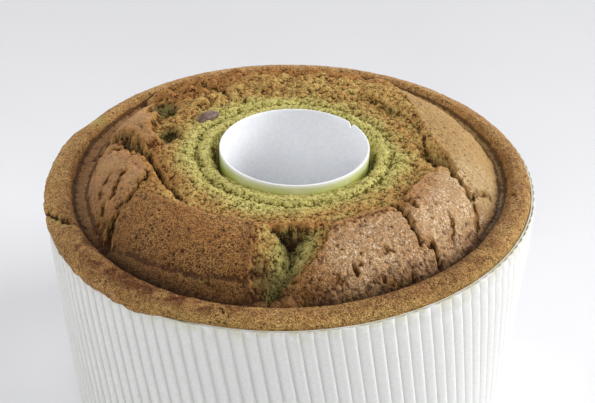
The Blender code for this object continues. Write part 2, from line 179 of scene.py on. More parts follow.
# Cracks: half width at the start and the end, depth, then (angle, radius) points
CRACKS = (
    (3.4, 2, 7, ((-91, 54.8), (-96, 58), (-101, 60.7), (-104, 66.8), (-102, 70.8))),
    (0.9, 0.5, 1.8, ((-86, 52.5), (-84, 56.5))),
    (0.9, 0.7, 2.4, ((-73, 61.8), (-70.5, 63.4), (-69, 64.6))),
    (0.7, 0.5, 1.6, ((-76, 59.6), (-74.5, 60.6))),
    (0.5, 0.4, 1.2, ((-79, 63.4), (-77.5, 65))),
    (0.7, 0.5, 1.4, ((-70.5, 67.6), (-67.5, 69.6), (-66.5, 71.6))),
    (0.5, 0.3, 1, ((-77, 67), (-74, 68.4))),
    (0.6, 0.4, 1.2, ((-95, 63), (-92.5, 64.4))),
    (0.7, 0.9, 2.4, ((-72, 51.5), (-67.5, 54.7), (-64.4, 57.1), (-63, 60.5))),
    (1.3, 2.4, 5.6, ((-63, 60.5), (-62.2, 64.4), (-60.4, 68.8), (-57.5, 73.6))),
    (2.2, 0.9, 5.6, ((43.6, 48), (42.4, 52.4), (41.3, 57))),
    (0.9, 0.5, 3.4, ((41.3, 57), (40.2, 60.2), (39.4, 63.4))),
    (1.1, 1, 4.4, ((43.8, 65.4), (43.6, 67.8), (43.2, 70.4))),
    (0.5, 0.5, 1.6, ((39.8, 63.1), (43.6, 65))),
    (0.9, 0.6, 2, ((48.6, 50), (47, 53.8))),
    (2, 1, 5, ((86.3, 48.3), (80.5, 53.8), (75.4, 55.6), (71, 62.4))),
    (0.8, 0.5, 2.2, ((71, 62.4), (74.5, 64.6), (79.3, 68.5))),
    (0.6, 0.4, 1.6, ((69.4, 64.4), (66, 67), (62.2, 69.7), (59.5, 71.3))),
    (0.9, 0.7, 2.8, ((34.2, 68.9), (32.6, 72.1))),
    (0.7, 0.5, 2, ((24.5, 68.6), (28.5, 69.4), (30, 71.2))),
    (0.8, 0.5, 1.8, ((18.2, 65.6), (17.6, 66.8))),
    (0.5, 0.4, 1.2, ((12, 67), (13.6, 68.2))),
    (0.4, 0.4, 1.2, ((28, 62.4), (30, 63.4))),
    (0.4, 0.3, 0.8, ((51, 66.5), (54, 65), (55.5, 62.5))),
    (0.8, 0.4, 1.6, ((-23, 70.2), (-20, 70.8))),
    (0.35, 0.25, 0.7, ((14.5, 52), (20, 50.6), (29, 49.4), (36, 50.4))),
    (0.5, 0.3, 1.4, ((83, 74.8), (79, 77.9))),
)
# Cracks in the lip, in the same form
LIP_CRACKS = (
    (1.5, 1.1, 2.2, ((-75.5, 87), (-72.6, 84.6), (-69.4, 82.8), (-66.5, 79.3), (-66, 77.4))),
    (0.6, 0.4, 1, ((-16, 81.2), (-14.6, 82.6), (-13.2, 84.5))),
    (0.5, 0.3, 0.8, ((88, 81.2), (85, 82.6), (84, 84.6))),
    (0.5, 0.4, 0.8, ((-46, 80), (-44.5, 81.4))),
)
# Folds in the crust, which tear nothing: half width, depth, then (angle, radius) points
FOLDS = (
    (1.2, 0.9, ((-57, 72.6), (-50, 71.9), (-45, 70.9), (-41, 70.7), (-33, 70.1), (-26, 69.9),
                (-19, 68.9), (-13, 68.2))),
    (1.5, -1.3, ((-55, 74.2), (-45, 73), (-41, 72.7), (-35, 72.3), (-29, 71.9), (-22, 71.5), (-15, 70.4))),
    (0.9, 0.4, ((-98, 70.2), (-90, 69.4), (-80, 69.6), (-70, 70.6))),
    (0.9, 0.5, ((100, 70.5), (112, 71.8), (124, 73))),
)
# Gaps torn in the crumb: half width, depth, then (angle, radius) points
TEARS = (
    (1.5, 3.6, ((-89, 50.6), (-84, 49.6), (-76.5, 48.2), (-68, 47.6), (-61.7, 48), (-54, 48.3),
                (-46, 49.6))),
    (0.9, 1.8, ((-38, 48.6), (-30, 48.2), (-22, 47.6))),
    (2.2, 3.6, ((-7, 48.4), (-3, 49), (0.8, 48.6))),
    (0.9, 1.2, ((96, 45.6), (104, 46.2), (112, 47))),
    (1.7, 3.4, ((79, 50.6), (84, 48.8), (89, 46.6))),
    (0.9, 1.2, ((142, 45), (146, 52), (143, 60))),
    (0.9, 2.2, ((176, 52), (178, 60), (176, 68))),
    (1.2, 2.6, ((-146, 46), (-150, 53), (-146, 61), (-149, 68))),
)
# Hollows: angle, radius, half width, depth
HOLLOWS = ((-122, 56, 5.2, 7), (-128, 62, 4, 5), (-106, 46, 4, 5.2), (-94, 57.3, 2.4, 2.8),
           (84, 49, 3.4, 4.4), (90, 45.5, 2.6, 2.4), (2.9, 71.2, 1.5, 2.2), (-64, 69.6, 1.8, 1.8),
           (130, 44, 3, 1.8))
# Pale green patches on the crust: angle, radius, half width
FRESH_SPOTS = ((-116, 81, 3.2), (-71.5, 84.4, 1.5), (-69.5, 83.2, 1.6), (-67, 81.6, 1.5))
# Moats beside the tube: angle, half width in degrees, depth
MOATS = ((-84, 24, 5), (78, 20, 4.6))
MOAT_RADIUS = 27.0
MOAT_WIDTH = 1.5

# The split at the front: (radius, angle or depth)
SPLIT_LEFT = ((49.8, -14), (61.4, -12.2), (67.4, -11.6), (73.2, -9.9))
SPLIT_RIGHT = ((49.9, 14.6), (55.8, 11.2), (60.6, 8.2), (63, 5.2), (66, 2.2), (70, -1), (73, -5))
SPLIT_VALLEY = ((48, -1.5), (54, -1.4), (57, -1), (63, -2.3), (67, -4), (71, -7.6))
SPLIT_DEPTH = ((45.6, 0), (47, 4), (48.8, 9.8), (54, 8.4), (57, 7.4), (64, 6.2), (69, 4.8), (72, 2.6),
               (73.8, 0))
SPLIT_START = 47.0  # inside this radius nothing is inside the split
# Lumps at its foot: angle, radius, half width, height
FOOT_LUMPS = ((-1.2, 71.4, 3.2, 2.9), (-3.4, 72.4, 2.6, 1.4), (-8.4, 73.2, 3, 0.9), (-11, 74.2, 1.8, 0.6))
LUMP_SKIN = 0.75  # how much of them counts as crust
# the lumps' share of moisture and painted shade
LUMP_MOIST_AND_SHADE = 0.42

# Parts of the circle: start, end, and over how many degrees each end fades
TORN_BACK = (147, -131, 10)  # the crust has come off here
CURLED = (-132, -104, 8)  # the torn edge curls up
LEFT_RIM = (-166, -112, 12)  # coarse clumps inside the lip
TORN_LEFT = (-166, -104, 12)  # the coarsest crumb
# the dark foot is moisture and painted shade
UNDER_LEFT = (-170, -8, 8)  # a dark foot under the plates
WORN = (2, 62, 12)  # a pitted foot under the plates
CRINKLED = (6, 84, 16)
# glossy plates: lower roughness, with painted sheen and painted specks of glint
GLOSSY = (10, 88, 20)
SMOOTH_LIP = (110, -100, 30)
# the far lip is lighter with painted light: a paler share, and less darkening near its crest
FAR_LIP = (120, -110, 30)
BURNT_LIP = (-68, -16, 24)
BROWN_LIP = (16, 56, 20)
BROWN_RIM = (-130, 88, 16)  # the torn edge is brown
WIDE_RIM = (-18, 10, 6)  # and here over a wider band
FRESH_LIP = (-30, 80, 24)
FRESH_PLATES = (72, 150, 16)
LESS_TOASTED = (90, 150, 20)
OVERHANG = (-16, 16, 6)  # the brown crumb over the split's start
# Baked crumb: share, part of the circle, two radii that it fades in between, then its wobble's
# depth, size and seed
TOASTED = ((0.9, (-165, -98, 20), 48, 58, 2, 5, 263), (0.75, (-100, -58, 14), 40, 47, 3, 4, 273),
           (0.6, (147, -100, 20), 70, 78, 0, 5, 263))
# Paler crust, partly its own colour and mostly painted sheen of reflected light: parts of the circle with a
# share before them
PALE_AND_SHEEN = ((1, -135, -66, 10), (0.6, 10, 40, 16), (0.9, 40, 150, 16))
# the groove's dark band is moisture and painted shade
GROOVE_WIDE = 3.1  # width of the groove's dark band
GROOVE_WIDER = ((1.5, -170, -26, 10), (2, 1, 10, 5))  # how much wider

# ---------- the cake's mesh ----------

TIERS = ((34.0, 460), (42.0, 560), (51.7, 700), (99.0, 930))  # up to a radius, points round
CRUMB_RINGS_END = 51.5
CRUMB_STEP = 0.46
CRUST_RINGS_START = 51.9
CRUST_STEP = 0.51
ROUND_RINGS = 60.0  # the rings are true circles up to this radius
LIP_RINGS = 12
HIDDEN_LIP_RINGS = 4  # the last of them, which face the paper
UNDERSIDE_COUNT = 96
UNDERSIDE_LEVELS = (60.0, 70.0)  # heights of a ring beside the wall and one beside the tube
CRUMBS = 9800
CRUMB_REACH = (0.20, 0.50)  # their radius
HIGHEST = CAD_BOX[1][2] / MM - 0.3  # of the relief: the crumbs stand out of it a little
SOFT_TOP = 0.6  # the relief is eased in over this much below it
STAND_SPAN = 0.6  # from the deepest to the highest relief that the looks tell apart
SLIVER = 1e-7  # edges shorter than this, in metres, are closed
SHARP_EDGE = 50.0  # the paper's edges stay sharp from this angle
# What top_surface finds out for the looks, besides the height
MASKS = ("skin", "lip", "on_crust", "split", "crack", "brown_gap", "green_gap", "moist", "lump", "in_split")

# ---------- the bean ----------

BEAN_SIZE = (9.2, 4.6, 4.4)
BEAN_TURN = -137.5  # of its long axis, from +X about Z
BEAN_RINGS = 40
BEAN_SIDES = 64

# ---------- the camera, as the photograph was taken ----------

CAMERA_PLACE = (1.3, -472.98, 382.87)
CAMERA_TILT = 32.88  # below the horizon
CAMERA_PAN = 0.161  # towards +X
CAMERA_ROLL = 0.854
CAMERA_LENS = 96.76
CAMERA_SENSOR = 36.0  # its width

# ---------- the studio ----------

FLOOR_HALF = 3000.0
ROOM_LIGHT = 0.12
ROOM_COLOUR = (0.97, 0.98, 1.0, 1.0)
LIGHTS_AIM = (0.0, 0.0, 0.08)  # metres
# Name, side and height in degrees, metres away, metres wide, watts
LIGHTS = (("window", 97.0, 27.0, 2.6, 1.5, 70.0), ("front_fill", -8.0, 40.0, 2.6, 2.0, 34.0),
          ("left_fill", -112.0, 26.0, 2.6, 1.8, 31.0), ("backdrop", 170.0, 24.0, 2.6, 1.8, 25.0))


# ---------- small helpers ----------

def rise(low, high, x):
    """0 at low, 1 at high and beyond, smooth in between."""
    t = np.clip((x - low) / (high - low), 0, 1)
    return t * t * (3 - 2 * t)


def mix(a, b, share):
    return a + (b - a) * share


def most(*values):
    return functools.reduce(np.maximum, values)


def hill(x, width):
    """1 at x = 0, falling smoothly to about 0 at two widths."""
    return np.exp(-(x / width) ** 2)


def turn(angle, towards=0):
    """Angle from towards, between -180 and 180."""
    return (angle - towards + 180) % 360 - 180


def between(angle, start, end, fade):
    """1 from start to end, 0 outside, smooth over fade at each end."""
    half = 0.5 * ((end - start) % 360)
    off_middle = np.abs(turn(angle, start + half))
    return 1 - rise(half - 0.5 * fade, half + 0.5 * fade, off_middle)


def strongest(angle, rows):
    """The greatest of several shares, each for a part of the circle."""
    return most(*(share * between(angle, *part) for share, *part in rows))


def round_table(angle, points):
    """Reads a table of (angle, value) points all the way round."""
    angles, values = zip(*points)
    return np.interp(angle, angles, values, period=360)


def straight_table(x, points):
    xs, values = zip(*points)
    return np.interp(x, xs, values)


def to_xy(angle, radius):
    a = np.radians(angle)
    return radius * np.sin(a), -radius * np.cos(a)


def to_polar(x, y):
    return np.degrees(np.arctan2(x, -y)), np.hypot(x, y)


def level(place):
    """Points at height 0, shape (n, 3), from their x and y."""
    return np.stack([*place, np.zeros(len(place[0]))], axis=1)


def off_spot(place, angle, radius):
    """Distance from each place to the spot at an angle and a radius."""
    x, y = to_xy(angle, radius)
    return np.hypot(place[0] - x, place[1] - y)


def off_path(place, path):
    """Distance to a path of (angle, radius) points, and how far along it, 0 to 1."""
    x, y = place
    corners = [to_xy(angle, radius) for angle, radius in path]
    best = np.full(len(x), np.inf)
    along = np.zeros(len(x))
    for i, ((ax, ay), (bx, by)) in enumerate(zip(corners, corners[1:])):
        dx, dy = bx - ax, by - ay
        t = np.clip(((x - ax) * dx + (y - ay) * dy) / (dx * dx + dy * dy), 0, 1)
        away = np.hypot(x - ax - t * dx, y - ay - t * dy)
        along = np.where(away < best, (i + t) / (len(corners) - 1), along)
        best = np.minimum(best, away)
    return best, along


# ---------- noise ----------

def scatter(seed, cell):
    """A repeatable random number from 0 to 1 for each whole-numbered cell, shape (n, 3)."""
    mixed = np.full(len(cell), (seed * 2654435761) % 2 ** 32, np.uint32)
    for axis, factor in enumerate((73856093, 19349663, 83492791)):
        mixed ^= cell[:, axis].astype(np.int64).astype(np.uint32) * np.uint32(factor)
        mixed ^= mixed >> np.uint32(15)
        mixed *= np.uint32(2246822519)
        mixed ^= mixed >> np.uint32(13)
        mixed *= np.uint32(3266489917)
    mixed ^= mixed >> np.uint32(16)
    return mixed / 4294967295.0


def scatter_3d(seed, cell):
    return np.stack([scatter(seed + k, cell) for k in range(3)], axis=1)


def noise(points, size, seed):
    """Smooth noise, mostly within -1 to 1, whose lumps are about size across."""
    p = points / size
    cell = np.floor(p)
    inside = p - cell
    fade = inside ** 3 * (inside * (inside * 6 - 15) + 10)
    total = np.zeros(len(points))
    for corner in np.ndindex(2, 2, 2):
        corner = np.array(corner)
        weight = np.prod(np.where(corner == 1, fade, 1 - fade), axis=1)
        slope = scatter_3d(seed, cell + corner) - 0.5
        total += weight * np.sum(slope * (inside - corner), axis=1)
    return total * 2.6


def rough(points, size, seed, layers=2):
    """Noise with finer and fainter layers on top."""
    total = np.zeros(len(points))
    for k in range(layers):
        total += noise(points + 17.3 * k, size / 2 ** k, seed + 5 * k) / 2 ** k
    return total


def grains(points, size, seed):
    """Scattered centres: distance to the nearest and to the next, in cells, and its number."""
    p = points / size
    cell = np.floor(p)
    nearest = np.full(len(points), 9.0)
    following = np.full(len(points), 9.0)
    number = np.zeros(len(points))
    for step in np.ndindex(3, 3, 3):
        there = cell + np.array(step) - 1
        away = np.sqrt(np.sum((there + scatter_3d(seed, there) - p) ** 2, axis=1))
        closer = away < nearest
        following = np.where(closer, nearest, np.minimum(following, away))
        number = np.where(closer, scatter(seed + 7, there), number)
        nearest = np.minimum(nearest, away)
    return nearest, following, number


# ---------- the mould's shape ----------

def sway(angle, once, twice):
    """A wave that goes once round and one that goes twice, each as its size and its crest's side."""
    return (once[0] * np.cos(np.radians(angle - once[1]))
            + twice[0] * np.cos(np.radians(2 * (angle - twice[1]))))


def wall_radius(angle, z):
    """Outside of the flat liner at a height above the floor."""
    t = z / WALL_HEIGHT
    cone = BASE_RADIUS + (TOP_RADIUS - BASE_RADIUS) * t - round_table(angle, EDGE_TRIM) * t * t
    return cone + sway(angle, CENTRE_SHIFT, OVAL) * (OVAL_AT_BASE + (1 - OVAL_AT_BASE) * t)


def edge_height(angle):
    """Height of the wall's top edge above the floor."""
    return WALL_HEIGHT + sway(angle, EDGE_TILT, EDGE_WAVE)


def crest_radius(angle):
    return wall_radius(angle, WALL_HEIGHT) - LIP_IN


# ---------- the cake's top ----------

def plate_lift(angle, radius):
    """How much each crust plate stands above the plain dome, stepping at the lines between them."""
    a, b, c, d, e, f = PLATE_LIFTS
    lift = np.full(np.shape(angle), a)
    arc = np.radians(1) * radius
    for line, change in ((LINE_AB, b - a), (LINE_BC, c - b), (LINE_DE, e - d), (LINE_EF, f - e)):
        lift += change * rise(-0.5, 0.5, (angle - straight_table(radius, line)) * arc)
    lift += (d - c) * rise(-4, 4, angle)
    return lift * (1 - 0.6 * rise(*PLATES_SINK, radius))


def dome(angle, radius):
    """The risen crust before it tore, falling to the groove's foot."""
    foot = round_table(angle, PLATE_FOOT)
    part = np.maximum(radius - DOME_START, 0) / (foot - DOME_START)
    return DOME_TOP - (DOME_TOP - LIP_FOOT) * part ** round_table(angle, DOME_CURVE)


def split(angle, radius):
    """Depth of the split at the front, and the distance outside its edges (minus inside)."""
    left, right, valley = (straight_table(radius, line) for line in (SPLIT_LEFT, SPLIT_RIGHT, SPLIT_VALLEY))
    from_left = np.clip((angle - left) / (valley - left), 0, 1)
    from_right = np.clip((right - angle) / (right - valley), 0, 1)
    across = np.minimum(0.25 * from_left + 0.75 * from_left ** 3, from_right ** 1.2)
    arc = np.radians(1) * radius
    outside = most((left - angle) * arc, (angle - right) * arc, radius - SPLIT_LEFT[-1][0])
    outside = np.where(radius < SPLIT_START, np.maximum(outside, 2.0), outside)
    return straight_table(radius, SPLIT_DEPTH) * across, outside


def lip_top(angle):
    return round_table(angle, LIP_HEIGHT)


def lip_swell(flat):
    """The lip's slow rise and fall round the cake."""
    return 0.22 * rough(flat, 14, 91)


def lip_height(angle, radius):
    """The rolled lip, from its foot in the groove to its crest."""
    crest = crest_radius(angle)
    reach = np.clip((crest - radius) / (crest - round_table(angle, GROOVE)), 0, 1)
    lip = lip_top(angle) - (lip_top(angle) - LIP_FOOT) * (1 - np.sqrt(1 - reach ** 2.4))
    return np.where(reach < 1, lip, LIP_FOOT - 1)


def place_wobbles(angle, radius):
    """The places on the cake's top, with the shifts that make its torn edges ragged."""
    s = SimpleNamespace(angle=angle, radius=radius, place=np.stack(to_xy(angle, radius)))
    s.flat = level(s.place)
    shifts = []
    for seed in (11, 31):
        jag = 0.7 * noise(s.flat, 1.8, seed + 2) + 0.5 * noise(s.flat, 1, seed + 4)
        shifts.append((0.85 * rough(s.flat, 4.2, seed, 3), jag, 1.8 * noise(s.flat, 2.9, seed + 6) + jag))
    s.shift, jag, s.ragged = np.array(shifts).transpose(1, 0, 2)
    s.torn_angle, s.torn_radius = to_polar(*(s.place + s.shift + jag))
    s.chunky = 0.35 * noise(s.flat, 1.3, 21) + 0.35 * noise(s.flat, 2.6, 23)
    s.back = between(angle, *TORN_BACK)
    return s


def find_torn_edges(s):
    """How far each place is from the torn edges (minus off the crust), and how deep the tears are."""
    s.crust_edge = round_table(s.torn_angle, CRUST_EDGE)
    s.step_line = np.minimum(s.crust_edge - 0.7, straight_table(s.torn_angle, STEP_LINE))
    s.split, s.off_split = split(s.torn_angle, s.torn_radius + 2 * s.chunky)
    s.split = s.split * (1 + 0.5 * s.chunky)
    s.off_crack = np.full(len(s.angle), 99.0)
    s.crack = np.zeros(len(s.angle))
    s.sag = np.zeros(len(s.angle))
    uneven = 1 + 1.1 * noise(s.flat, 2.3, 19)
    for start_half, end_half, depth, path in CRACKS:
        away, along = off_path(s.place + s.ragged, path)
        half = mix(start_half, end_half, along) * uneven
        s.off_crack = np.minimum(s.off_crack, away - half)
        s.crack = most(s.crack, depth * (1 - rise(0.25, 1, away / (half + 0.4) + s.chunky)))
        if depth > SAGGING_DEPTH:
            s.sag = most(s.sag, 0.2 * depth * hill(np.maximum(away - half, 0), 2.4))
    s.off_edge = np.minimum(s.torn_radius - s.crust_edge, s.off_split)
    s.on_crust = np.minimum(s.off_edge, s.off_crack)


def crust_height(s):
    """The risen crust, which curls up at its torn edges, sags at the large cracks and has folds."""
    risen = dome(s.angle, s.radius) + plate_lift(s.angle, s.radius)
    curl = 0.4 + 0.6 * between(s.angle, *CURLED)
    risen = risen + curl * hill(s.on_crust - 0.7, 1.2) * rise(44, 48, s.radius)
    risen = risen + 0.6 * rough(s.flat, 12, 51) + 0.45 * noise(s.flat, 5.5, 53) - s.sag
    for half, depth, path in FOLDS:
        away, _ = off_path(s.place + 0.45 * s.shift, path)
        risen = risen - depth * hill(away, half)
    return risen


def crumb_height(s):
    """The torn crumb inside the crust, lumpy at the back and the sides."""
    back_crumb = straight_table(s.radius + 0.9 * noise(s.flat, 9, 61), CRUMB)
    under_crust = dome(s.angle, s.radius) - round_table(s.angle, UNDER_CRUST)
    front_crumb = np.where(s.radius > DOME_START, under_crust, np.minimum(back_crumb, under_crust))
    drop = np.maximum(round_table(s.angle, STEP) - 1.2, 0)
    crumb = mix(front_crumb, back_crumb, s.back)
    crumb = crumb - drop * hill(s.step_line - s.radius, 5) * (1 - s.back)
    crumb = crumb + 0.6 * rough(s.flat, 6, 71) * rise(28, 34, s.radius)
    lump, next_lump, _ = grains(level(s.place + 2 * s.shift), 7, 81)
    lumpy = rise(36, 44, s.radius) * most(s.back, 0.45 * rise(44, 60, np.abs(s.angle)))
    lumps = 2 * (0.55 - lump) - 0.8 * hill(next_lump - lump, 0.2) + 0.6 * noise(s.flat, 3.2, 85)
    clump, _, _ = grains(level(s.place + 1.5 * s.shift), 4.2, 87)
    clumpy = between(s.angle, *LEFT_RIM) * rise(54, 60, s.radius) * rise(79, 75, s.radius)
    return crumb + lumpy * lumps + clumpy * (2.6 * (0.5 - clump) + 0.6 * noise(s.flat, 2.2, 89))


def tear_gaps(s):
    """Depths of the gaps that are torn in brown crumb, and of those that are torn in green crumb."""
    s.brown_gap = np.zeros(len(s.angle))
    for half, depth, path in TEARS:
        away, _ = off_path(s.place + 1.3 * s.shift, path)
        s.brown_gap = most(s.brown_gap, depth * (1 - rise(0.2, 1.1, away / half)))
    s.green_gap = np.zeros(len(s.angle))
    for angle, radius, half, depth in HOLLOWS:
        s.green_gap = s.green_gap + depth * hill(off_spot(s.place + 1.5 * s.shift, angle, radius), half)
    beside_tube = hill(s.radius - MOAT_RADIUS + 0.5 * s.shift[0], MOAT_WIDTH)
    for angle, half, depth in MOATS:
        s.green_gap = s.green_gap + depth * hill(turn(s.angle, angle), half) * beside_tube


def find_skin(s, above_floor):
    """How much each place is crust: 1 on the plates, the lip and the groove's floor, 0 on torn crumb."""
    off_lip = 1 - s.lip
    bare_back = s.back * rise(82, 70, s.radius + 3 * rough(s.flat, 6, 97))
    skin = most(rise(-0.3, 0.2, s.on_crust), s.lip * rise(-0.3, 0.2, s.off_crack))
    skin = most(skin, rise(0.5, 0, above_floor) * off_lip)
    skin = np.minimum(skin, 1 - bare_back * off_lip)
    skin = skin * (1 - rise(0.6, 1.6, s.brown_gap + s.green_gap) * off_lip)
    return most(skin, LUMP_SKIN * s.lump)


def find_moist(s):
    """How dark each place is with moisture and painted shade: most in the groove, and less under the left
    plates' feet.
    """
    inside = np.minimum(s.radius - round_table(s.angle, GROOVE) + 1, 0)
    groove = hill(inside, GROOVE_WIDE + strongest(s.angle, GROOVE_WIDER))
    foot = 0.6 * between(s.angle, *UNDER_LEFT) * hill(inside + 1.5 * s.shift[0], 9)
    moist = round_table(s.angle, MOIST_AND_SHADE) * most(groove, foot)
    return moist * (1 - s.lip) * (1 - s.lump) + LUMP_MOIST_AND_SHADE * s.lump


def top_surface(angle, radius):
    """Coarse height of the cake's top above the wall's edge, and masks for its looks."""
    s = place_wobbles(angle, radius)
    find_torn_edges(s)
    risen = crust_height(s)
    crumb = crumb_height(s)
    under_edge = 0.12 * np.clip(s.crust_edge - s.torn_radius, 0, 8)
    band = risen - 0.7 * round_table(angle, UNDER_CRUST) - under_edge
    torn = mix(crumb, band, rise(-0.4, 0.5, s.torn_radius - s.step_line) * (1 - s.back))
    risen = mix(risen, most(crumb + 0.3, risen - 3), s.back)
    tear_gaps(s)
    top = mix(torn, risen, rise(-0.2, 0.3, s.off_edge)) - s.split - s.crack - s.brown_gap - s.green_gap
    s.lump = np.zeros(len(angle))
    for spot, spot_radius, half, height in FOOT_LUMPS:
        off_lump = off_spot(s.place + 0.6 * s.shift, spot, spot_radius) / half
        top = most(top, height - off_lump ** 2 * height)
        s.lump = most(s.lump, rise(1.15, 0.85, off_lump))
    lip = lip_height(angle, radius) + lip_swell(s.flat)
    lip = lip - s.crack * (lip > LIP_FOOT)
    floor = round_table(angle, GROOVE_FLOOR) + 0.2 * noise(s.flat, 5, 95)
    s.lip = rise(-0.6, 0.3, lip - most(top, floor))
    s.skin = find_skin(s, top - floor)
    s.moist = find_moist(s)
    s.in_split = rise(0, -0.8, s.off_split)
    return most(top, lip, floor), {name: getattr(s, name) for name in MASKS}


def lip_outline(angle):
    """Control points of the lip's outer side as (radius, height above the edge), from its crest."""
    flat = level(to_xy(angle, TOP_RADIUS))
    uneven = rough(flat, 6, 101, 3)
    inside = wall_radius(angle, WALL_HEIGHT) - LINER - GAP
    crest = crest_radius(angle)
    start, end = HANG
    out = between(angle, start, end, HANG_FADE)
    drop = round_table(angle, HANG_DROP) * between(angle, start + HANG_FADE, end - HANG_FADE, HANG_FADE)
    drop = drop * (0.8 + 0.22 * uneven + 0.08 * noise(flat, 3, 111))
    reach = out * (LINER + 2 * GAP + PRESSED_FLUTES)
    body = out * (0.33 + 0.10 * uneven)
    span = inside + reach - crest
    top = lip_top(angle) + lip_swell(flat)
    return [
        (crest - 0.25 * span, top - 0.15),
        (crest, top),
        (crest + 0.45 * span, 0.90 * top),
        (crest + 0.82 * span, 0.66 * top),
        (inside + reach + body, 0.38 * top + 0.25 * uneven),
        (inside + reach + 1.1 * body, 0.9 - 0.7 * drop),
        (inside + reach + 0.6 * body, 0.7 - drop),
        (inside + reach, 0.55 - 0.95 * drop),
        (inside + 0.9 * reach, 0.4 - 0.6 * (1 - out)),
        (inside, 0.3 - 2 * (1 - out)),
        (inside, np.full(len(angle), -4.0)),
    ]


def smooth_through(points, place):
    """Point at place, 0 to 1, on a smooth curve through all but the first and last points."""
    spans = len(points) - 3
    t = min(place * spans, spans - 1e-9)
    i = int(t)
    t -= i
    a, b, c, d = (np.stack(p, axis=-1) for p in points[i:i + 4])
    return 0.5 * (2 * b + (c - a) * t + (2 * a - 5 * b + 4 * c - d) * t ** 2
                  + (3 * b - a - 3 * c + d) * t ** 3)


# ---------- mesh helpers ----------

def circle(count):
    return np.arange(count) * 360 / count


def ring_points(angle, radius, height):
    x, y = to_xy(angle, radius)
    return np.stack([AXIS_X + x, y, np.broadcast_to(height, x.shape)], axis=1)


def ring_quads(rings, columns, closed=True):
    """Quads between each ring of points and the next, and from the last ring to the first."""
    i = np.arange(columns if closed else columns - 1)
    j = (i + 1) % columns
    a = columns * np.arange(rings)[:, None]
    b = np.roll(a, -1)
    return np.stack([a + i, b + i, b + j, a + j], axis=-1).reshape(-1, 4)


def zip_rings(start_a, count_a, start_b, count_b):
    """Triangles between two closed rings, which may have different numbers of points."""
    if count_a == count_b:
        i = np.arange(count_a)
        j = (i + 1) % count_a
        first = np.stack([start_a + i, start_a + j, start_b + j], axis=1)
        second = np.stack([start_a + i, start_b + j, start_b + i], axis=1)
        return np.concatenate([first, second])
    faces = []
    i = j = 0
    while i < count_a or j < count_b:
        here_a, here_b = start_a + i % count_a, start_b + j % count_b
        if j >= count_b or (i < count_a and (i + 0.5) / count_a <= (j + 0.5) / count_b):
            faces.append((here_a, start_a + (i + 1) % count_a, here_b))
            i += 1
        else:
            faces.append((here_a, start_b + (j + 1) % count_b, here_b))
            j += 1
    return np.array(faces)


def face_normals(points, faces):
    """Outward vector of each triangle, twice as long as its area."""
    a, b, c = (points[faces[:, k]] for k in range(3))
    return np.cross(b - a, c - a)


def point_normals(points, faces):
    across = face_normals(points, faces)
    total = np.zeros_like(points)
    for k in range(3):
        for axis in range(3):
            total[:, axis] += np.bincount(faces[:, k], across[:, axis], len(points))
    length = np.linalg.norm(total, axis=1, keepdims=True)
    return total / np.maximum(length, 1e-12)


def relaxed(values, faces, rounds):
    """Each value averaged with its neighbours', a number of times over."""
    a, b = np.concatenate([faces[:, (0, 1)], faces[:, (1, 2)], faces[:, (2, 0)]]).T
    ends = np.concatenate([a, b])
    others = np.concatenate([b, a])
    count = np.bincount(ends, minlength=len(values))
    for _ in range(rounds):
        total = np.stack([np.bincount(ends, row[others], len(values)) for row in values.T], axis=1)
        values = 0.5 * (values + total / count[:, None])
    return values


def make_object(name, points, faces, material, looks=None, sharp=None):
    """A mesh object from points in millimetres, with named numbers for its points."""
    data = bpy.data.meshes.new(name)
    data.from_pydata((np.asarray(points) * MM).tolist(), [], np.asarray(faces).tolist())
    for key, values in (looks or {}).items():
        layer = data.attributes.new(key, "FLOAT", "POINT")
        layer.data.foreach_set("value", np.asarray(values, np.float32))
    data.materials.append(material)
    data.shade_smooth()
    if sharp:
        data.set_sharp_from_angle(angle=math.radians(sharp))
    data.update()
    thing = bpy.data.objects.new(name, data)
    bpy.context.scene.collection.objects.link(thing)
    return thing


def close_mesh(thing):
    """Closes slivers and turns every face outwards."""
    mesh = bmesh.new()
    mesh.from_mesh(thing.data)
    bmesh.ops.remove_doubles(mesh, verts=mesh.verts, dist=SLIVER)
    bmesh.ops.dissolve_degenerate(mesh, dist=SLIVER, edges=mesh.edges)
    bmesh.ops.recalc_face_normals(mesh, faces=mesh.faces)
    mesh.to_mesh(thing.data)
    mesh.free()


# ---------- shader helpers ----------

class Shade:
    """A value in a material's nodes, which adds, subtracts and multiplies as a number does."""

    def __init__(self, looks, socket):
        self.looks = looks
        self.socket = socket

    def __add__(self, other):
        return self.looks.maths("ADD", self, other)

    def __sub__(self, other):
        return self.looks.maths("SUBTRACT", self, other)

    def __rsub__(self, other):
        return self.looks.maths("SUBTRACT", other, self)

    def __mul__(self, other):
        return self.looks.maths("MULTIPLY", self, other)

    __radd__ = __add__
    __rmul__ = __mul__


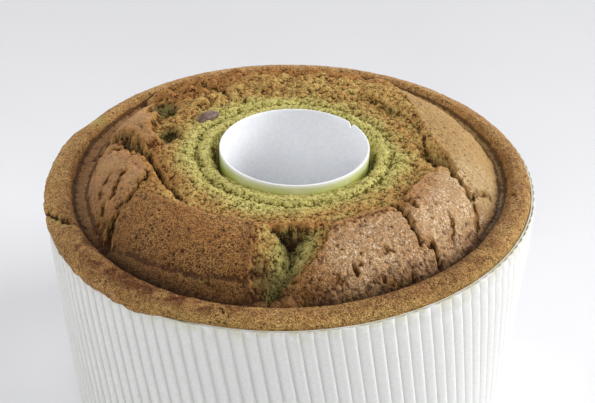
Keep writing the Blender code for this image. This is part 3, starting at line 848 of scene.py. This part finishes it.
class Looks:
    """A material, and the nodes that it is made of."""

    def __init__(self, name, roughness, specular):
        self.material = bpy.data.materials.new(name)
        self.material.use_nodes = True
        self.tree = self.material.node_tree
        self.shader = self.tree.nodes["Principled BSDF"]
        self.place = self.node("ShaderNodeTexCoord").outputs["Object"]
        self.put("Roughness", roughness)
        self.put("Specular IOR Level", specular)

    def node(self, kind, inputs=None, **settings):
        """A new node, with its settings, and with its inputs fed by name or by number."""
        node = self.tree.nodes.new(kind)
        for key, value in settings.items():
            setattr(node, key, value)
        for key, source in (inputs or {}).items():
            self.feed(node.inputs[key], source)
        return node

    def feed(self, socket, source):
        """Feeds a socket from another one, or sets it to a plain number or colour."""
        if isinstance(source, Shade):
            source = source.socket
        if isinstance(source, bpy.types.NodeSocket):
            self.tree.links.new(source, socket)
        elif socket.type == "RGBA":
            socket.default_value = (*source, 1)
        else:
            socket.default_value = source

    def put(self, name, source):
        self.feed(self.shader.inputs[name], source)

    def mask(self, name):
        return Shade(self, self.node("ShaderNodeAttribute", attribute_name=name).outputs["Fac"])

    def maths(self, operation, a, b):
        return Shade(self, self.node("ShaderNodeMath", {0: a, 1: b}, operation=operation).outputs[0])

    def noise(self, size, detail=2, roughness=0.5):
        """Noise whose lumps are about size millimetres across."""
        inputs = {"Vector": self.place, "Scale": 1 / (size * MM), "Detail": detail, "Roughness": roughness}
        return Shade(self, self.node("ShaderNodeTexNoise", inputs).outputs["Fac"])

    def span(self, value, low, high, low_out=0, high_out=1, kind="SMOOTHSTEP"):
        """Maps low to high onto low_out to high_out, and holds it outside."""
        inputs = dict(enumerate((value, low, high, low_out, high_out)))
        return Shade(self, self.node("ShaderNodeMapRange", inputs, interpolation_type=kind).outputs[0])

    def blend(self, share, a, b, kind="MIX"):
        """From colour a to colour b as share goes from 0 to 1."""
        node = self.node("ShaderNodeMix", data_type="RGBA", blend_type=kind)
        for index, source in ((0, share), (6, a), (7, b)):
            self.feed(node.inputs[index], source)
        return Shade(self, node.outputs[2])

    def bump(self, height, depth):
        """Bump of a depth in millimetres where height goes from 0 to 1."""
        node = self.node("ShaderNodeBump", {"Height": height, "Distance": depth * MM, "Strength": 1})
        self.put("Normal", node.outputs["Normal"])


def rgb(red, green, blue):
    """An sRGB colour, 0 to 255, as the linear numbers that a shader takes."""
    def linear(c):
        c /= 255
        return c / 12.92 if c <= 0.04045 else ((c + 0.055) / 1.055) ** 2.4
    return (linear(red), linear(green), linear(blue))


# ---------- materials ----------

def crumb_colour(m, grain):
    """Torn crumb: random light and dark grain, with painted highlights where the relief stands out and
    painted shade where it sinks, green inside and browner near the crust.
    """
    green = m.mask("green")
    stand = m.mask("stand")
    # painted light: part of this share follows how far the relief stands out, and the rest is random grain
    grain_and_light = m.span(0.4 * stand + 0.6 * grain, 0.38, 0.58)
    browner = (1 - green) * m.span(m.noise(3.2, 3, 0.6), 0.25, 0.6, 0.45, 1)
    light_grain_and_highlight = m.blend(browner, rgb(222, 211, 130), rgb(207, 162, 94))
    dark_grain_and_shade = m.blend(browner, rgb(142, 130, 54), rgb(122, 82, 36))
    crevice_shade = m.blend(browner, rgb(78, 70, 22), rgb(72, 38, 14))
    crumb = m.blend(grain_and_light, dark_grain_and_shade, light_grain_and_highlight)
    # painted shade in the crumb's crevice lines, where the relief sinks
    crumb = m.blend(m.span(stand, 0.4, 0.12, 0, 0.6), crumb, crevice_shade)
    # painted shade in gaps, cracks and the split, stronger where the painted light is weaker
    hollow_shade = m.blend(green, rgb(48, 22, 9), rgb(60, 54, 18))
    crumb = m.blend(m.mask("deep") * m.span(grain_and_light, 0, 1, 0.97, 0.76, "LINEAR"), crumb, hollow_shade)
    # baked crumb, lighter and darker with the same grain and painted light
    baked = m.blend(grain_and_light, rgb(98, 52, 22), rgb(184, 126, 70))
    return m.blend(0.85 * m.mask("toast"), crumb, baked)


def scattered_pits(m, size, reach, share):
    """1 in scattered ragged pits, 0 elsewhere; share of the places that have one."""
    cells = m.node("ShaderNodeTexVoronoi", {"Vector": m.place, "Scale": 1 / (size * MM)})
    away = Shade(m, cells.outputs["Distance"]) + 0.3 * m.noise(0.5, 1)
    chosen = m.span(cells.outputs["Color"], 1 - share, 1.03 - share)
    return m.span(away, reach + 0.18, reach + 0.12) * chosen


def crust_pits(m):
    """Pits in the crust, darkened by painted shade, in clusters, fewer on the lip and on the glossy and the
    paler plates.
    """
    pit = m.maths("MAXIMUM", scattered_pits(m, 1.9, 0.25, 0.5), scattered_pits(m, 0.8, 0.3, 0.3))
    smoother = m.maths("MAXIMUM", 0.5 * m.mask("lip"), m.mask("gloss_and_sheen"))
    clustered = m.span(m.noise(6), 0.35, 0.6, 0.5, 1)
    return (pit * m.span(smoother, 0, 1, 1, 0.5) * clustered
            * m.span(m.mask("pale_and_sheen"), 0.6, 1, 1, 0.5))


def crust_colour(m, grain, pit):
    """Baked crust: fine golden brown grain, cloudy, with painted sheen, painted specks of glint and painted
    highlights, painted shade in its pits and sunken relief, and a groove darkened by moisture and painted
    shade.
    """
    lip, gloss_and_sheen, stand, moist = (m.mask(name) for name in ("lip", "gloss_and_sheen", "stand", "moist"))
    patchy = m.span(lip, 0, 1, 0.15, 0.25, "LINEAR")
    tone = m.span(grain * (1 - patchy) + m.noise(1.6, 3, 0.6) * patchy, 0.43, 0.57)
    dark = m.blend(lip, rgb(80, 43, 14), rgb(126, 86, 43))
    light = m.blend(lip, rgb(196, 144, 82), rgb(220, 177, 109))
    crust = m.blend(tone, dark, light)
    # painted specks of glint on the glossy plates, where the relief stands out and in streaks
    on_top = m.span(stand, 0.42, 0.6, 0.3, 1)
    streaks = m.span(m.noise(4), 0.38, 0.6, 0.3, 1)
    painted_glints = gloss_and_sheen * m.span(m.noise(0.65, 2, 0.6), 0.54, 0.59) * (on_top * streaks)
    mottle = m.span(m.noise(5, 3, 0.6), 0.36, 0.62, 0.35, 1)
    # painted highlight where the crust stands out of its neighbours
    raised_highlight = m.span(stand, 0.55, 0.85, 0, 0.3) * ((1 - lip) * (1 - moist))
    for share, colour, *kind in (
            # paler crust, partly its own colour and mostly painted sheen of reflected light
            (0.55 * m.mask("pale_and_sheen"), (214, 168, 120)),
            # painted sheen of reflected light on the glossy plates
            (0.16 * gloss_and_sheen, (226, 208, 170)),
            (painted_glints, (255, 240, 212)),
            (m.span(m.noise(14), 0.35, 0.65, 0, 0.3), (150, 90, 38)),
            (m.mask("burnt") * mottle, (138, 97, 69), "MULTIPLY"),
            (0.8 * m.mask("fresh"), (186, 172, 96)),
            (raised_highlight, (214, 158, 92)),
            # painted shade where the crust's relief sinks
            (m.span(stand, 0.45, 0.15, 0, 0.75), (70, 34, 12)),
            # painted shade in the pits
            (0.9 * pit, (50, 22, 7)),
            # moisture and painted shade in the groove and at the plates' feet
            (0.95 * moist, (38, 16, 8))):
        crust = m.blend(share, crust, rgb(*colour), *kind)
    return crust


def cake_material():
    m = Looks("cake_looks", 0.6, 0.45)
    m.put("Specular Tint", (1, 0.8, 0.56))
    skin = m.mask("skin")
    kernel = m.noise(0.7, 2, 0.6)
    pit = crust_pits(m)
    crust = crust_colour(m, m.noise(0.42, 2, 0.6), pit)
    m.put("Base Color", m.blend(skin, crumb_colour(m, kernel), crust))
    crust_rough = m.span(m.mask("gloss_and_sheen"), 0, 1, 0.75, 0.38)
    m.put("Roughness", m.span(skin, 0, 1, 0.9, crust_rough))
    crust_bumps = 0.7 * m.noise(0.8, 2, 0.55) + m.noise(2.2) - 0.6 * pit
    m.bump(skin * crust_bumps + (1 - skin) * kernel, 1.4)
    return m.material


def fibres(m, size, low, high):
    """Fibre noise, and paper that goes from the low colour to the high one along it."""
    fibre = m.noise(size, 4, 0.6)
    return fibre, m.blend(m.span(fibre, 0.3, 0.7), low, high)


def paper_material():
    m = Looks("paper_looks", 0.8, 0.3)
    fibre, white = fibres(m, 0.9, rgb(232, 232, 229), rgb(241, 241, 239))
    # painted shade in the flutes' valleys
    white = m.blend(m.span(m.mask("valley"), 0.3, 1, 0, 0.6), white, rgb(206, 207, 203))
    stain = m.mask("stain") * m.span(m.noise(5, 3, 0.6), 0.35, 0.6)
    m.put("Base Color", m.blend(stain, white, rgb(196, 190, 140)))
    m.put("Subsurface Weight", 0.2)
    m.put("Subsurface Radius", (1, 1, 1))
    m.put("Subsurface Scale", 2 * MM)
    m.bump(fibre, 0.02)
    return m.material


def tube_material():
    m = Looks("tube_looks", 0.55, 0.4)
    fibre, white = fibres(m, 1.2, rgb(238, 240, 243), rgb(247, 248, 250))
    stain = m.mask("stain") * m.span(m.noise(6, 3, 0.6), 0.2, 0.6, 0.7, 1)
    m.put("Base Color", m.blend(stain, white, rgb(190, 198, 92)))
    m.bump(fibre, 0.03)
    return m.material


def base_material():
    m = Looks("base_looks", 0.8, 0.3)
    _, white = fibres(m, 1.2, rgb(232, 232, 230), rgb(243, 243, 241))
    m.put("Base Color", white)
    return m.material


def bean_material():
    m = Looks("bean_looks", 0.5, 0.5)
    mottle = m.noise(1.6, 3, 0.6)
    m.put("Base Color", m.blend(m.span(mottle, 0.35, 0.65), rgb(84, 62, 54), rgb(122, 96, 84)))
    m.bump(mottle, 0.2)
    return m.material


def floor_material():
    """Pale paper, with painted shade that makes it a little darker towards the back."""
    m = Looks("floor_looks", 0.9, 0.2)
    cloudy = m.span(m.noise(90), 0.3, 0.7)
    across = m.node("ShaderNodeSeparateXYZ", {0: m.place})
    shade_behind = m.span(across.outputs["Y"], 0, 0.4)
    near = m.blend(cloudy, rgb(230, 230, 233), rgb(232, 232, 235))
    far = m.blend(cloudy, rgb(208, 208, 211), rgb(210, 210, 213))
    m.put("Base Color", m.blend(shade_behind, near, far))
    return m.material


# ---------- the cake ----------

def top_rings():
    """Each ring of points on the cake's top as its angles and radii, from the tube to the lip's crest."""
    crest = TOP_RADIUS - LIP_IN
    nominal = [*np.arange(TUBE_SIDE, CRUMB_RINGS_END, CRUMB_STEP),
               *np.arange(CRUST_RINGS_START, crest - 0.2, CRUST_STEP), crest]
    rings = []
    for r in nominal:
        angle = turn(circle(next(count for limit, count in TIERS if r < limit)))
        wide = (crest_radius(angle) - ROUND_RINGS) / (crest - ROUND_RINGS)
        rings.append((angle, r + max(r - ROUND_RINGS, 0) * (wide - 1)))
    return rings


def lip_rings(angle):
    """The rings over the lip's outer side, from its crest."""
    outline = lip_outline(angle)
    for k in range(LIP_RINGS):
        out, up = smooth_through(outline, (k + 1) / LIP_RINGS).T
        yield ring_points(angle, out, edge_height(angle) + up)


def underside_rings():
    """The hidden rings down the wall, across the foot and up the tube."""
    angle = turn(circle(UNDERSIDE_COUNT))
    foot = BASE_THICKNESS + GAP
    beside_wall, beside_tube = UNDERSIDE_LEVELS
    for z in (beside_wall, foot):
        yield ring_points(angle, wall_radius(angle, z) - LINER - GAP, z)
    for z in (foot, beside_tube):
        yield ring_points(angle, TUBE_SIDE, z)


def cake_mesh():
    """The cake as rings from the tube outwards, over the lip and back underneath, with its masks."""
    rings = top_rings()
    angle, radius = np.concatenate(rings, axis=1)
    height, looks = top_surface(angle, radius)
    ground = mix(WALL_HEIGHT, edge_height(angle), rise(40, 75, radius))
    crest_angle = rings[-1][0]
    rest = [*lip_rings(crest_angle), *underside_rings()]
    points = np.concatenate([ring_points(angle, radius, ground + height), *rest])
    counts = [len(ring[0]) for ring in rings] + [len(ring) for ring in rest]
    starts = np.cumsum([0, *counts])
    order = [*range(len(counts)), 0]
    faces = np.concatenate([zip_rings(starts[a], counts[a], starts[b], counts[b])
                            for a, b in zip(order, order[1:])])
    top_end = len(angle)
    lip_end = top_end + LIP_RINGS * len(crest_angle)
    looks = {key: np.append(value, np.zeros(len(points) - top_end)) for key, value in looks.items()}
    for key in ("skin", "lip"):
        looks[key][top_end:lip_end] = 1
    looks["on_crust"][top_end:] = 9
    shown = np.zeros(len(points))
    shown[counts[0]:lip_end - HIDDEN_LIP_RINGS * len(crest_angle)] = 1
    return points, faces[:, ::-1], looks, shown


def crumb_relief(points, angle, radius, split_deep):
    """Relief of the torn crumb, coarser in the split and at the back left."""
    bent = points + 0.3 * np.stack([noise(points, 1.3, 191 + k) for k in range(3)], axis=1)
    near, _, _ = grains(bent, 1.5, 201)
    crumb = (0.45 * rough(bent, 2.6, 211) + 0.8 * (0.3 - near ** 2) + 0.55 * noise(bent, 5, 221)
             + 0.12 * noise(bent, 0.95, 225))
    torn_left = between(angle, *TORN_LEFT) * rise(50, 56, radius)
    return crumb * (1 + 0.8 * rise(0.5, 2, split_deep) + 0.6 * torn_left)


def crust_relief(points, angle, radius, lip):
    """Relief of the crust, with pits: coarser on the plates than on the lip."""
    plate = 1 - lip
    worn = between(angle, *WORN) * rise(63, 68, radius)
    wet = between(angle, *CRINKLED) * plate
    cell, _, number = grains(points + 0.3 * noise(points, 0.9, 229)[:, None], 2.5, 231)
    clusters = rise(-0.1, 0.5, noise(points, 11, 235))
    pits = rise(0.30, 0.12, cell) * (number < 0.06 + 0.16 * clusters + 0.3 * worn) * (0.8 + 0.3 * worn)
    crust = (0.12 + 0.1 * plate + 0.1 * worn + 0.1 * wet) * rough(points, 1.3, 241)
    crust = crust + (0.12 + 0.12 * plate) * noise(points, 2.6, 245)
    crust = crust - 0.5 * wet * worn * hill(noise(points, 3.4, 255), 0.08)
    crust = crust + (0.28 - 0.1 * lip) * noise(points, 5, 251) + 0.2 * lip * noise(points, 2.2, 253)
    crust = crust - pits * mix(0.5 * (number < 0.05), 1, plate)
    return crust * (1 - 0.45 * lip * between(angle, *SMOOTH_LIP))


def add_relief(points, faces, looks, shown):
    """Pushes fine relief out along the surface, so that steep torn sides get it too."""
    normals = point_normals(points, faces)
    place = np.stack([points[:, 0] - AXIS_X, points[:, 1]])
    angle, radius = to_polar(*place)
    relief = mix(crumb_relief(points, angle, radius, looks["split"]),
                 crust_relief(points, angle, radius, looks["lip"]), looks["skin"])
    jag = 0.5 * rough(points, 1.6, 271)
    for start_half, end_half, depth, path in LIP_CRACKS:
        away, along = off_path(place + jag, path)
        gap = rise(1, 0.2, away / mix(start_half, end_half, along)) * (points[:, 2] > 60)
        relief = relief - depth * gap
        looks["skin"] = np.minimum(looks["skin"], 1 - rise(0.35, 0.8, gap))
        looks["crack"] = most(looks["crack"], 2.6 * gap)
    points = points + normals * (relief * shown)[:, None]
    over = np.maximum(points[:, 2] - HIGHEST + SOFT_TOP, 0)
    points[:, 2] += SOFT_TOP * (1 - np.exp(-over / SOFT_TOP)) - over
    return points


def how_green(s):
    """Green inside and in deep gaps, brown near the crust."""
    wavy = s.radius + 2.2 * rough(s.flat, 6, 261, 3)
    green = 1 - rise(-3, 6, wavy - round_table(s.angle, GREEN_EDGE))
    green = most(green, 0.85 * rise(0.8, 3.5, most(s.split, 0.8 * s.green_gap)))
    return green * (1 - rise(0.3, 1.8, s.brown_gap))


def how_shaded(s):
    """Painted shade in gaps and cracks, and in the split, most at its start and at its foot."""
    low = mix(0.1, 0.95, rise(57, 68, s.radius)) * rise(0.6, 2, s.split)
    foot = 0.9 * s.in_split * rise(58, 66, s.radius) * rise(4, -3, s.angle)
    start = 1.25 * rise(1.5, 4, s.split) * rise(54, 51, s.radius) * rise(7, 2, s.angle)
    gaps = most(0.95 * rise(0.5, 3.6, s.green_gap), rise(0.3, 2, s.brown_gap), rise(0.6, 2.4, s.crack))
    return most(0.85 * rise(2.2, 6.5, s.split), low, foot, start, gaps)


def how_toasted(s):
    """Baked crumb: under the crust's edge, in some zones, in cracks, and over the split's start."""
    toast = hill(np.minimum(s.on_crust, 0), 1.3) * (1 - 0.5 * between(s.angle, *LESS_TOASTED))
    for share, zone, low, high, wobble, size, seed in TOASTED:
        wavy = s.radius + wobble * rough(s.flat, size, seed)
        toast = most(toast, share * between(s.angle, *zone) * rise(low, high, wavy))
    overhang = hill(s.radius - 46 + 0.6 * rough(s.flat, 3, 269), 1.2) * between(s.angle, *OVERHANG)
    toast = most(toast, rise(0.1, 0.8, s.crack), 0.9 * overhang)
    return toast * (1 - s.skin) * np.maximum(1 - s.deep, 0)


def how_burnt(s):
    """Darker crust: on the lip, at the torn rims and on the split's lumps."""
    outer = rise(1, 4.5, s.off_crest)
    lip = 1.2 * between(s.angle, *BURNT_LIP) * (1 - 0.6 * outer) + 0.3 * between(s.angle, *BROWN_LIP)
    lip = lip + 0.4 * (1 - outer) * (1 - 0.7 * s.far_lip)
    rim_width = mix(0.9, 2, between(s.angle, *WIDE_RIM)) * (1 + 0.4 * rough(s.flat, 3, 267))
    rim = hill(most(s.on_crust, 0) / rim_width, 1) * (1 - s.lip) * between(s.angle, *BROWN_RIM)
    return np.clip(most(lip * s.lip, rim, s.lump), 0, 1)


def how_fresh(s):
    """Pale green crust: small patches, the lip's outer side at the front, and the plates at the right."""
    fresh = np.zeros(len(s.angle))
    wobble = 0.5 * rough(s.flat, 2, 265)
    for angle, radius, half in FRESH_SPOTS:
        fresh = most(fresh, hill(off_spot(s.place, angle, radius) + wobble, half))
    outside = 0.2 * rise(2.5, 5.5, s.off_crest) * between(s.angle, *FRESH_LIP) * s.lip
    return most(fresh, outside, 0.3 * between(s.angle, *FRESH_PLATES) * (1 - s.lip))


def cake_looks(points, faces, looks):
    """Numbers from 0 to 1 at each point, for the cake's material."""
    s = SimpleNamespace(**looks, place=np.stack([points[:, 0] - AXIS_X, points[:, 1]]))
    s.angle, s.radius = to_polar(*s.place)
    s.flat = level(s.place)
    s.off_crest = s.radius - crest_radius(s.angle)
    s.far_lip = between(s.angle, *FAR_LIP)
    s.deep = how_shaded(s)
    normals = point_normals(points, faces)
    above = np.sum((points - relaxed(points, faces, 8)) * normals, axis=1)
    gloss_and_sheen = between(s.angle, *GLOSSY) * (1 - s.lip) * rise(49, 57, s.radius)
    return {
        "skin": s.skin,
        "lip": s.lip,
        "green": how_green(s),
        "toast": how_toasted(s),
        # how far each point stands out of its neighbours; the material paints highlights where it stands
        # out and shade where it sinks
        "stand": np.clip(0.5 + above / STAND_SPAN, 0, 1),
        # painted shade in gaps, cracks and the split
        "deep": s.deep,
        "moist": s.moist,
        "burnt": how_burnt(s),
        "fresh": how_fresh(s),
        # paler crust and painted sheen, on the plates and the far lip
        "pale_and_sheen": mix(strongest(s.angle, PALE_AND_SHEEN) * rise(1.2, 0, s.moist), 0.3 * s.far_lip, s.lip),
        "gloss_and_sheen": gloss_and_sheen * (1 - s.moist) * (1 - s.lump),
    }


def make_cake():
    points, faces, looks, shown = cake_mesh()
    points = add_relief(points, faces, looks, shown)
    split_deep = looks["split"]
    looks = cake_looks(points, faces, looks)
    material = cake_material()
    cake = make_object("cake_looks", points, faces, material, looks)
    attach(cake, "root")
    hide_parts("cake")
    make_crumbs(points, faces, looks, shown, split_deep, material)


def make_crumbs(points, faces, looks, shown, split_deep, material):
    """Small grains of torn cake, which stand out of the crumb's surface."""
    dice = np.random.default_rng(7)
    corners, sides = icosahedron()
    across = face_normals(points, faces)
    area = np.linalg.norm(across, axis=1)
    bare = (looks["skin"][faces].max(axis=1) < 0.4) & (shown[faces].min(axis=1) > 0.5)
    chance = area * bare * (1 + 1.5 * rise(0.3, 1.5, split_deep[faces[:, 0]]))
    picked = dice.choice(len(faces), CRUMBS, p=chance / chance.sum())
    share = dice.dirichlet((1, 1, 1), CRUMBS)
    middle = np.einsum("nk,nki->ni", share, points[faces[picked]])
    reach = dice.uniform(*CRUMB_REACH, CRUMBS)
    middle = middle + across[picked] * (0.2 * reach / area[picked])[:, None]
    stretch = dice.uniform(0.65, 1.2, (CRUMBS, 1, 3))
    uneven = dice.uniform(0.8, 1.15, (CRUMBS, len(corners), 1))
    local = np.einsum("nij,nkj->nki", random_turns(dice, CRUMBS), corners * stretch * uneven)
    blobs = (middle[:, None] + local * reach[:, None, None]).reshape(-1, 3)
    blob_faces = (sides + len(corners) * np.arange(CRUMBS)[:, None, None]).reshape(-1, 3)
    spots = faces[picked, 0]
    values = {key: np.repeat(value[spots], len(corners)) for key, value in looks.items()}
    # each crumb gets a random level of painted highlight and shade
    values["stand"] = np.repeat(dice.uniform(0.4, 0.95, CRUMBS), len(corners))
    crumbs = make_object("crumbs", blobs, blob_faces, material, values)
    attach(crumbs, "root")


def icosahedron():
    """Corners and outward faces of a regular solid with twenty sides, one unit in radius."""
    golden = 0.5 * (1 + math.sqrt(5))
    corners = []
    for a, b in itertools.product((-1, 1), (-golden, golden)):
        corners += [(0, a, b), (a, b, 0), (b, 0, a)]
    corners = np.array(corners) / math.hypot(1, golden)
    sides = []
    for i, j, k in itertools.combinations(range(len(corners)), 3):
        a, b, c = corners[[i, j, k]]
        if max(math.dist(a, b), math.dist(b, c), math.dist(c, a)) < 1.2:
            outward = np.dot(np.cross(b - a, c - a), a) > 0
            sides.append((i, j, k) if outward else (i, k, j))
    return corners, np.array(sides)


def random_turns(dice, count):
    """Random rotations as matrices, from random unit quaternions."""
    numbers = dice.normal(size=(4, count))
    w, x, y, z = numbers / np.sqrt(np.sum(numbers * numbers, axis=0))
    rows = [[1 - 2 * (y * y + z * z), 2 * (x * y - z * w), 2 * (x * z + y * w)],
            [2 * (x * y + z * w), 1 - 2 * (x * x + z * z), 2 * (y * z - x * w)],
            [2 * (x * z - y * w), 2 * (y * z + x * w), 1 - 2 * (x * x + y * y)]]
    return np.transpose(np.array(rows), (2, 0, 1))


# ---------- the paper mould ----------

def flute_lift(angle, below, z, hung, wave):
    """How far the fluted sheet stands off the liner, where it is pressed under the lip and in a band."""
    spot = np.stack([*to_xy(angle, TOP_RADIUS), z], axis=1)
    middle, width, share = CRUSHED
    band = 1 - share * hill(below - middle - 1.5 * noise(spot, 30, 303), width)
    free = rise(0, mix(*FREE_FROM, hung), below - hung * round_table(angle, HANG_DROP))
    pressed = band * (1 + 0.10 * noise(spot, 9, 301)) * mix(mix(*EDGE_FLUTES, hung), 1, free)
    return (FLUTE_DEPTH - PAPER) * np.clip(wave * pressed, 0, 1)


def fluted_sheet():
    """The fluted sheet, whose straight flutes lean as the cone unrolls, with its stain and the painted
    shade of its valleys.
    """
    slope = (TOP_RADIUS - BASE_RADIUS) / WALL_HEIGHT
    spread = slope / math.hypot(1, slope)  # sine of the cone's half angle
    slant_top = TOP_RADIUS / spread
    half_width = slant_top * math.sin(math.pi * spread)
    flutes = int(2 * half_width / FLUTE_PITCH) + 1
    along, out = zip(*FLUTE_SHAPE)
    x = (np.arange(flutes)[:, None] + along[:-1]).ravel() * FLUTE_PITCH - half_width
    x = np.append(x[x < half_width], half_width)
    outer, inner, stain, valley = [], [], [], []
    for below in FLUTE_ROWS:
        slant = slant_top - below / math.cos(math.asin(spread))
        limit = slant * math.sin(math.pi * spread) - 0.5 * SEAM_GAP
        here = np.clip(x, -limit, limit)
        wave = np.interp(((here + half_width) / FLUTE_PITCH) % 1, along, out)
        angle = SEAM - 180 + np.degrees(np.arcsin(here / slant)) / spread
        hung = between(angle, *HANG, HANG_FADE)
        z = (edge_height(angle) - mix(*SHEET_DOWN, hung)) * (1 - below / WALL_HEIGHT)
        side = wall_radius(angle, z) + flute_lift(angle, below, z, hung, wave)
        outer.append(ring_points(angle, side + PAPER, z))
        inner.append(ring_points(angle, side, z))
        stain.append(np.full(len(x), math.exp(-below / 2.5)))
        # 1 where the sheet lies in a valley, for the painted shade there
        valley.append(1 - wave)
    rows, columns = len(FLUTE_ROWS), len(x)
    quads = [ring_quads(2 * rows, columns, False)]
    k = np.arange(rows - 1)
    opposite = 2 * rows - 1 - k
    for end in (0, columns - 1):
        quads.append(np.stack([k, k + 1, opposite - 1, opposite], axis=1) * columns + end)
    there_and_back = [np.concatenate(values + values[::-1]) for values in (stain, valley)]
    return np.concatenate(outer + inner[::-1]), np.concatenate(quads), *there_and_back


def flat_liner():
    angle = circle(LINER_COUNT)
    edge = edge_height(angle)
    rings = []
    for side, shares in ((0, LINER_LEVELS), (LINER, LINER_LEVELS[::-1])):
        for share in shares:
            z = edge * share
            rings.append(ring_points(angle, wall_radius(angle, z) - side, z))
    points = np.concatenate(rings)
    return points, ring_quads(len(rings), LINER_COUNT), np.exp(-(np.max(edge) - points[:, 2]) / 2)


def make_paper_wall():
    """A flat liner with a fluted sheet round it, in one mesh."""
    sheet, sheet_quads, sheet_stain, valley = fluted_sheet()
    liner, liner_quads, liner_stain = flat_liner()
    points = np.concatenate([sheet, liner])
    quads = np.concatenate([sheet_quads, liner_quads + len(sheet)])
    looks = {"stain": 0.6 * np.append(sheet_stain, liner_stain),
             "valley": np.append(valley, np.zeros(len(liner)))}
    wall = make_object("paper_wall_looks", points, quads, paper_material(), looks, SHARP_EDGE)
    close_mesh(wall)
    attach(wall, "root")
    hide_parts("paper_wall")


def make_tube():
    """The tube as rings up its outside, over its round rim and down its bore."""
    angle = circle(TUBE_COUNT)
    bore = TUBE_RADIUS - TUBE_WALL
    top = TUBE_HEIGHT - SLIT_DEPTH * (1 - rise(0.9, 1.9, np.abs(turn(angle, SLIT))))
    rings = [ring_points(angle, TUBE_RADIUS, np.minimum(z, top - 0.5)) for z in TUBE_LEVELS]
    for a in np.linspace(0, math.pi, 7):
        out = 0.5 * (TUBE_RADIUS + bore + TUBE_WALL * math.cos(a))
        rings.append(ring_points(angle, out, top - 0.2 + 0.2 * math.sin(a)))
    rings += [ring_points(angle, bore, np.minimum(z, top - 0.5)) for z in TUBE_LEVELS[::-1]]
    points = np.concatenate(rings)
    outside = np.hypot(points[:, 0] - AXIS_X, points[:, 1]) > TUBE_RADIUS - 0.1
    looks = {"stain": outside * (1 - rise(*STAIN_END, points[:, 2]))}
    quads = ring_quads(len(rings), TUBE_COUNT)
    tube = make_object("paper_tube_looks", points, quads, tube_material(), looks, SHARP_EDGE)
    close_mesh(tube)
    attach(tube, "root")
    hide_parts("paper_tube")


def finish_base():
    material = base_material()
    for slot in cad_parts["paper_base"].material_slots:
        slot.material = material


# ---------- the bean ----------

def make_bean():
    """A slightly bent, lumpy bean, as rings from end to end."""
    low, high = (Vector(corner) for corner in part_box("bean"))
    length, width, height = (0.5 * size for size in BEAN_SIZE)
    along = np.cos(np.linspace(0, math.pi, BEAN_RINGS))
    around = np.linspace(0, 2 * math.pi, BEAN_SIDES, endpoint=False)
    a, b = np.meshgrid(along, around, indexing="ij")
    thick = np.sqrt(np.maximum(1 - np.abs(a) ** 2.3, 0))
    bend = 0.22 * width * (a * a - 0.5)
    local = np.stack([a * length, thick * np.cos(b) * width + bend, thick * np.sin(b) * height], axis=-1)
    local = local.reshape(-1, 3)
    x, y, z = (local * (1 + 0.03 * noise(local, 2.2, 401)[:, None])).T
    c, s = math.cos(math.radians(BEAN_TURN)), math.sin(math.radians(BEAN_TURN))
    points = np.stack([x * c - y * s, x * s + y * c, z], axis=1) + np.array((low + high) / 2) / MM
    quads = ring_quads(BEAN_RINGS, BEAN_SIDES)[:-BEAN_SIDES]
    bean = make_object("bean_looks", points, quads, bean_material())
    close_mesh(bean)
    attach(bean, "root")
    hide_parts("bean")


# ---------- the studio ----------

def make_floor():
    corners = np.array([(-1, -1, 0), (1, -1, 0), (1, 1, 0), (-1, 1, 0)])
    floor = make_object("floor", FLOOR_HALF * corners, [(0, 1, 2, 3)], floor_material())
    floor.location.z = -0.2 * MM


def make_lights():
    scene = bpy.context.scene
    world = bpy.data.worlds.new("soft_room")
    world.use_nodes = True
    background = world.node_tree.nodes["Background"]
    background.inputs["Color"].default_value = ROOM_COLOUR
    background.inputs["Strength"].default_value = ROOM_LIGHT
    scene.world = world
    for name, side, up, away, size, power in LIGHTS:
        x, y = to_xy(side, away * math.cos(math.radians(up)))
        add_area_light(name, Vector((x, y, away * math.sin(math.radians(up)))), size, power)
    scene.view_settings.view_transform = "Standard"


def add_area_light(name, place, size, power):
    light = bpy.data.lights.new(name, "AREA")
    light.shape = "SQUARE"
    light.size = size
    light.energy = power
    thing = bpy.data.objects.new(name, light)
    thing.location = place
    thing.rotation_euler = (Vector(LIGHTS_AIM) - place).to_track_quat("-Z", "Y").to_euler()
    bpy.context.scene.collection.objects.link(thing)


def make_camera():
    tilt, pan, roll = (math.radians(a) for a in (CAMERA_TILT, CAMERA_PAN, CAMERA_ROLL))
    forward = Vector((math.sin(pan) * math.cos(tilt), math.cos(pan) * math.cos(tilt), -math.sin(tilt)))
    right = Vector((math.cos(pan), -math.sin(pan), 0))
    up = right.cross(forward)
    right, up = (math.cos(roll) * right + math.sin(roll) * up,
                 math.cos(roll) * up - math.sin(roll) * right)
    camera = bpy.data.cameras.new("camera")
    camera.lens = CAMERA_LENS
    camera.sensor_width = CAMERA_SENSOR
    thing = bpy.data.objects.new("camera", camera)
    turned = Matrix((right, up, -forward)).transposed().to_4x4()
    thing.matrix_world = Matrix.Translation(Vector(CAMERA_PLACE) * MM) @ turned
    bpy.context.scene.collection.objects.link(thing)
    bpy.context.scene.camera = thing


make_camera()
make_lights()
make_floor()
make_paper_wall()
make_tube()
make_bean()
finish_base()
make_cake()
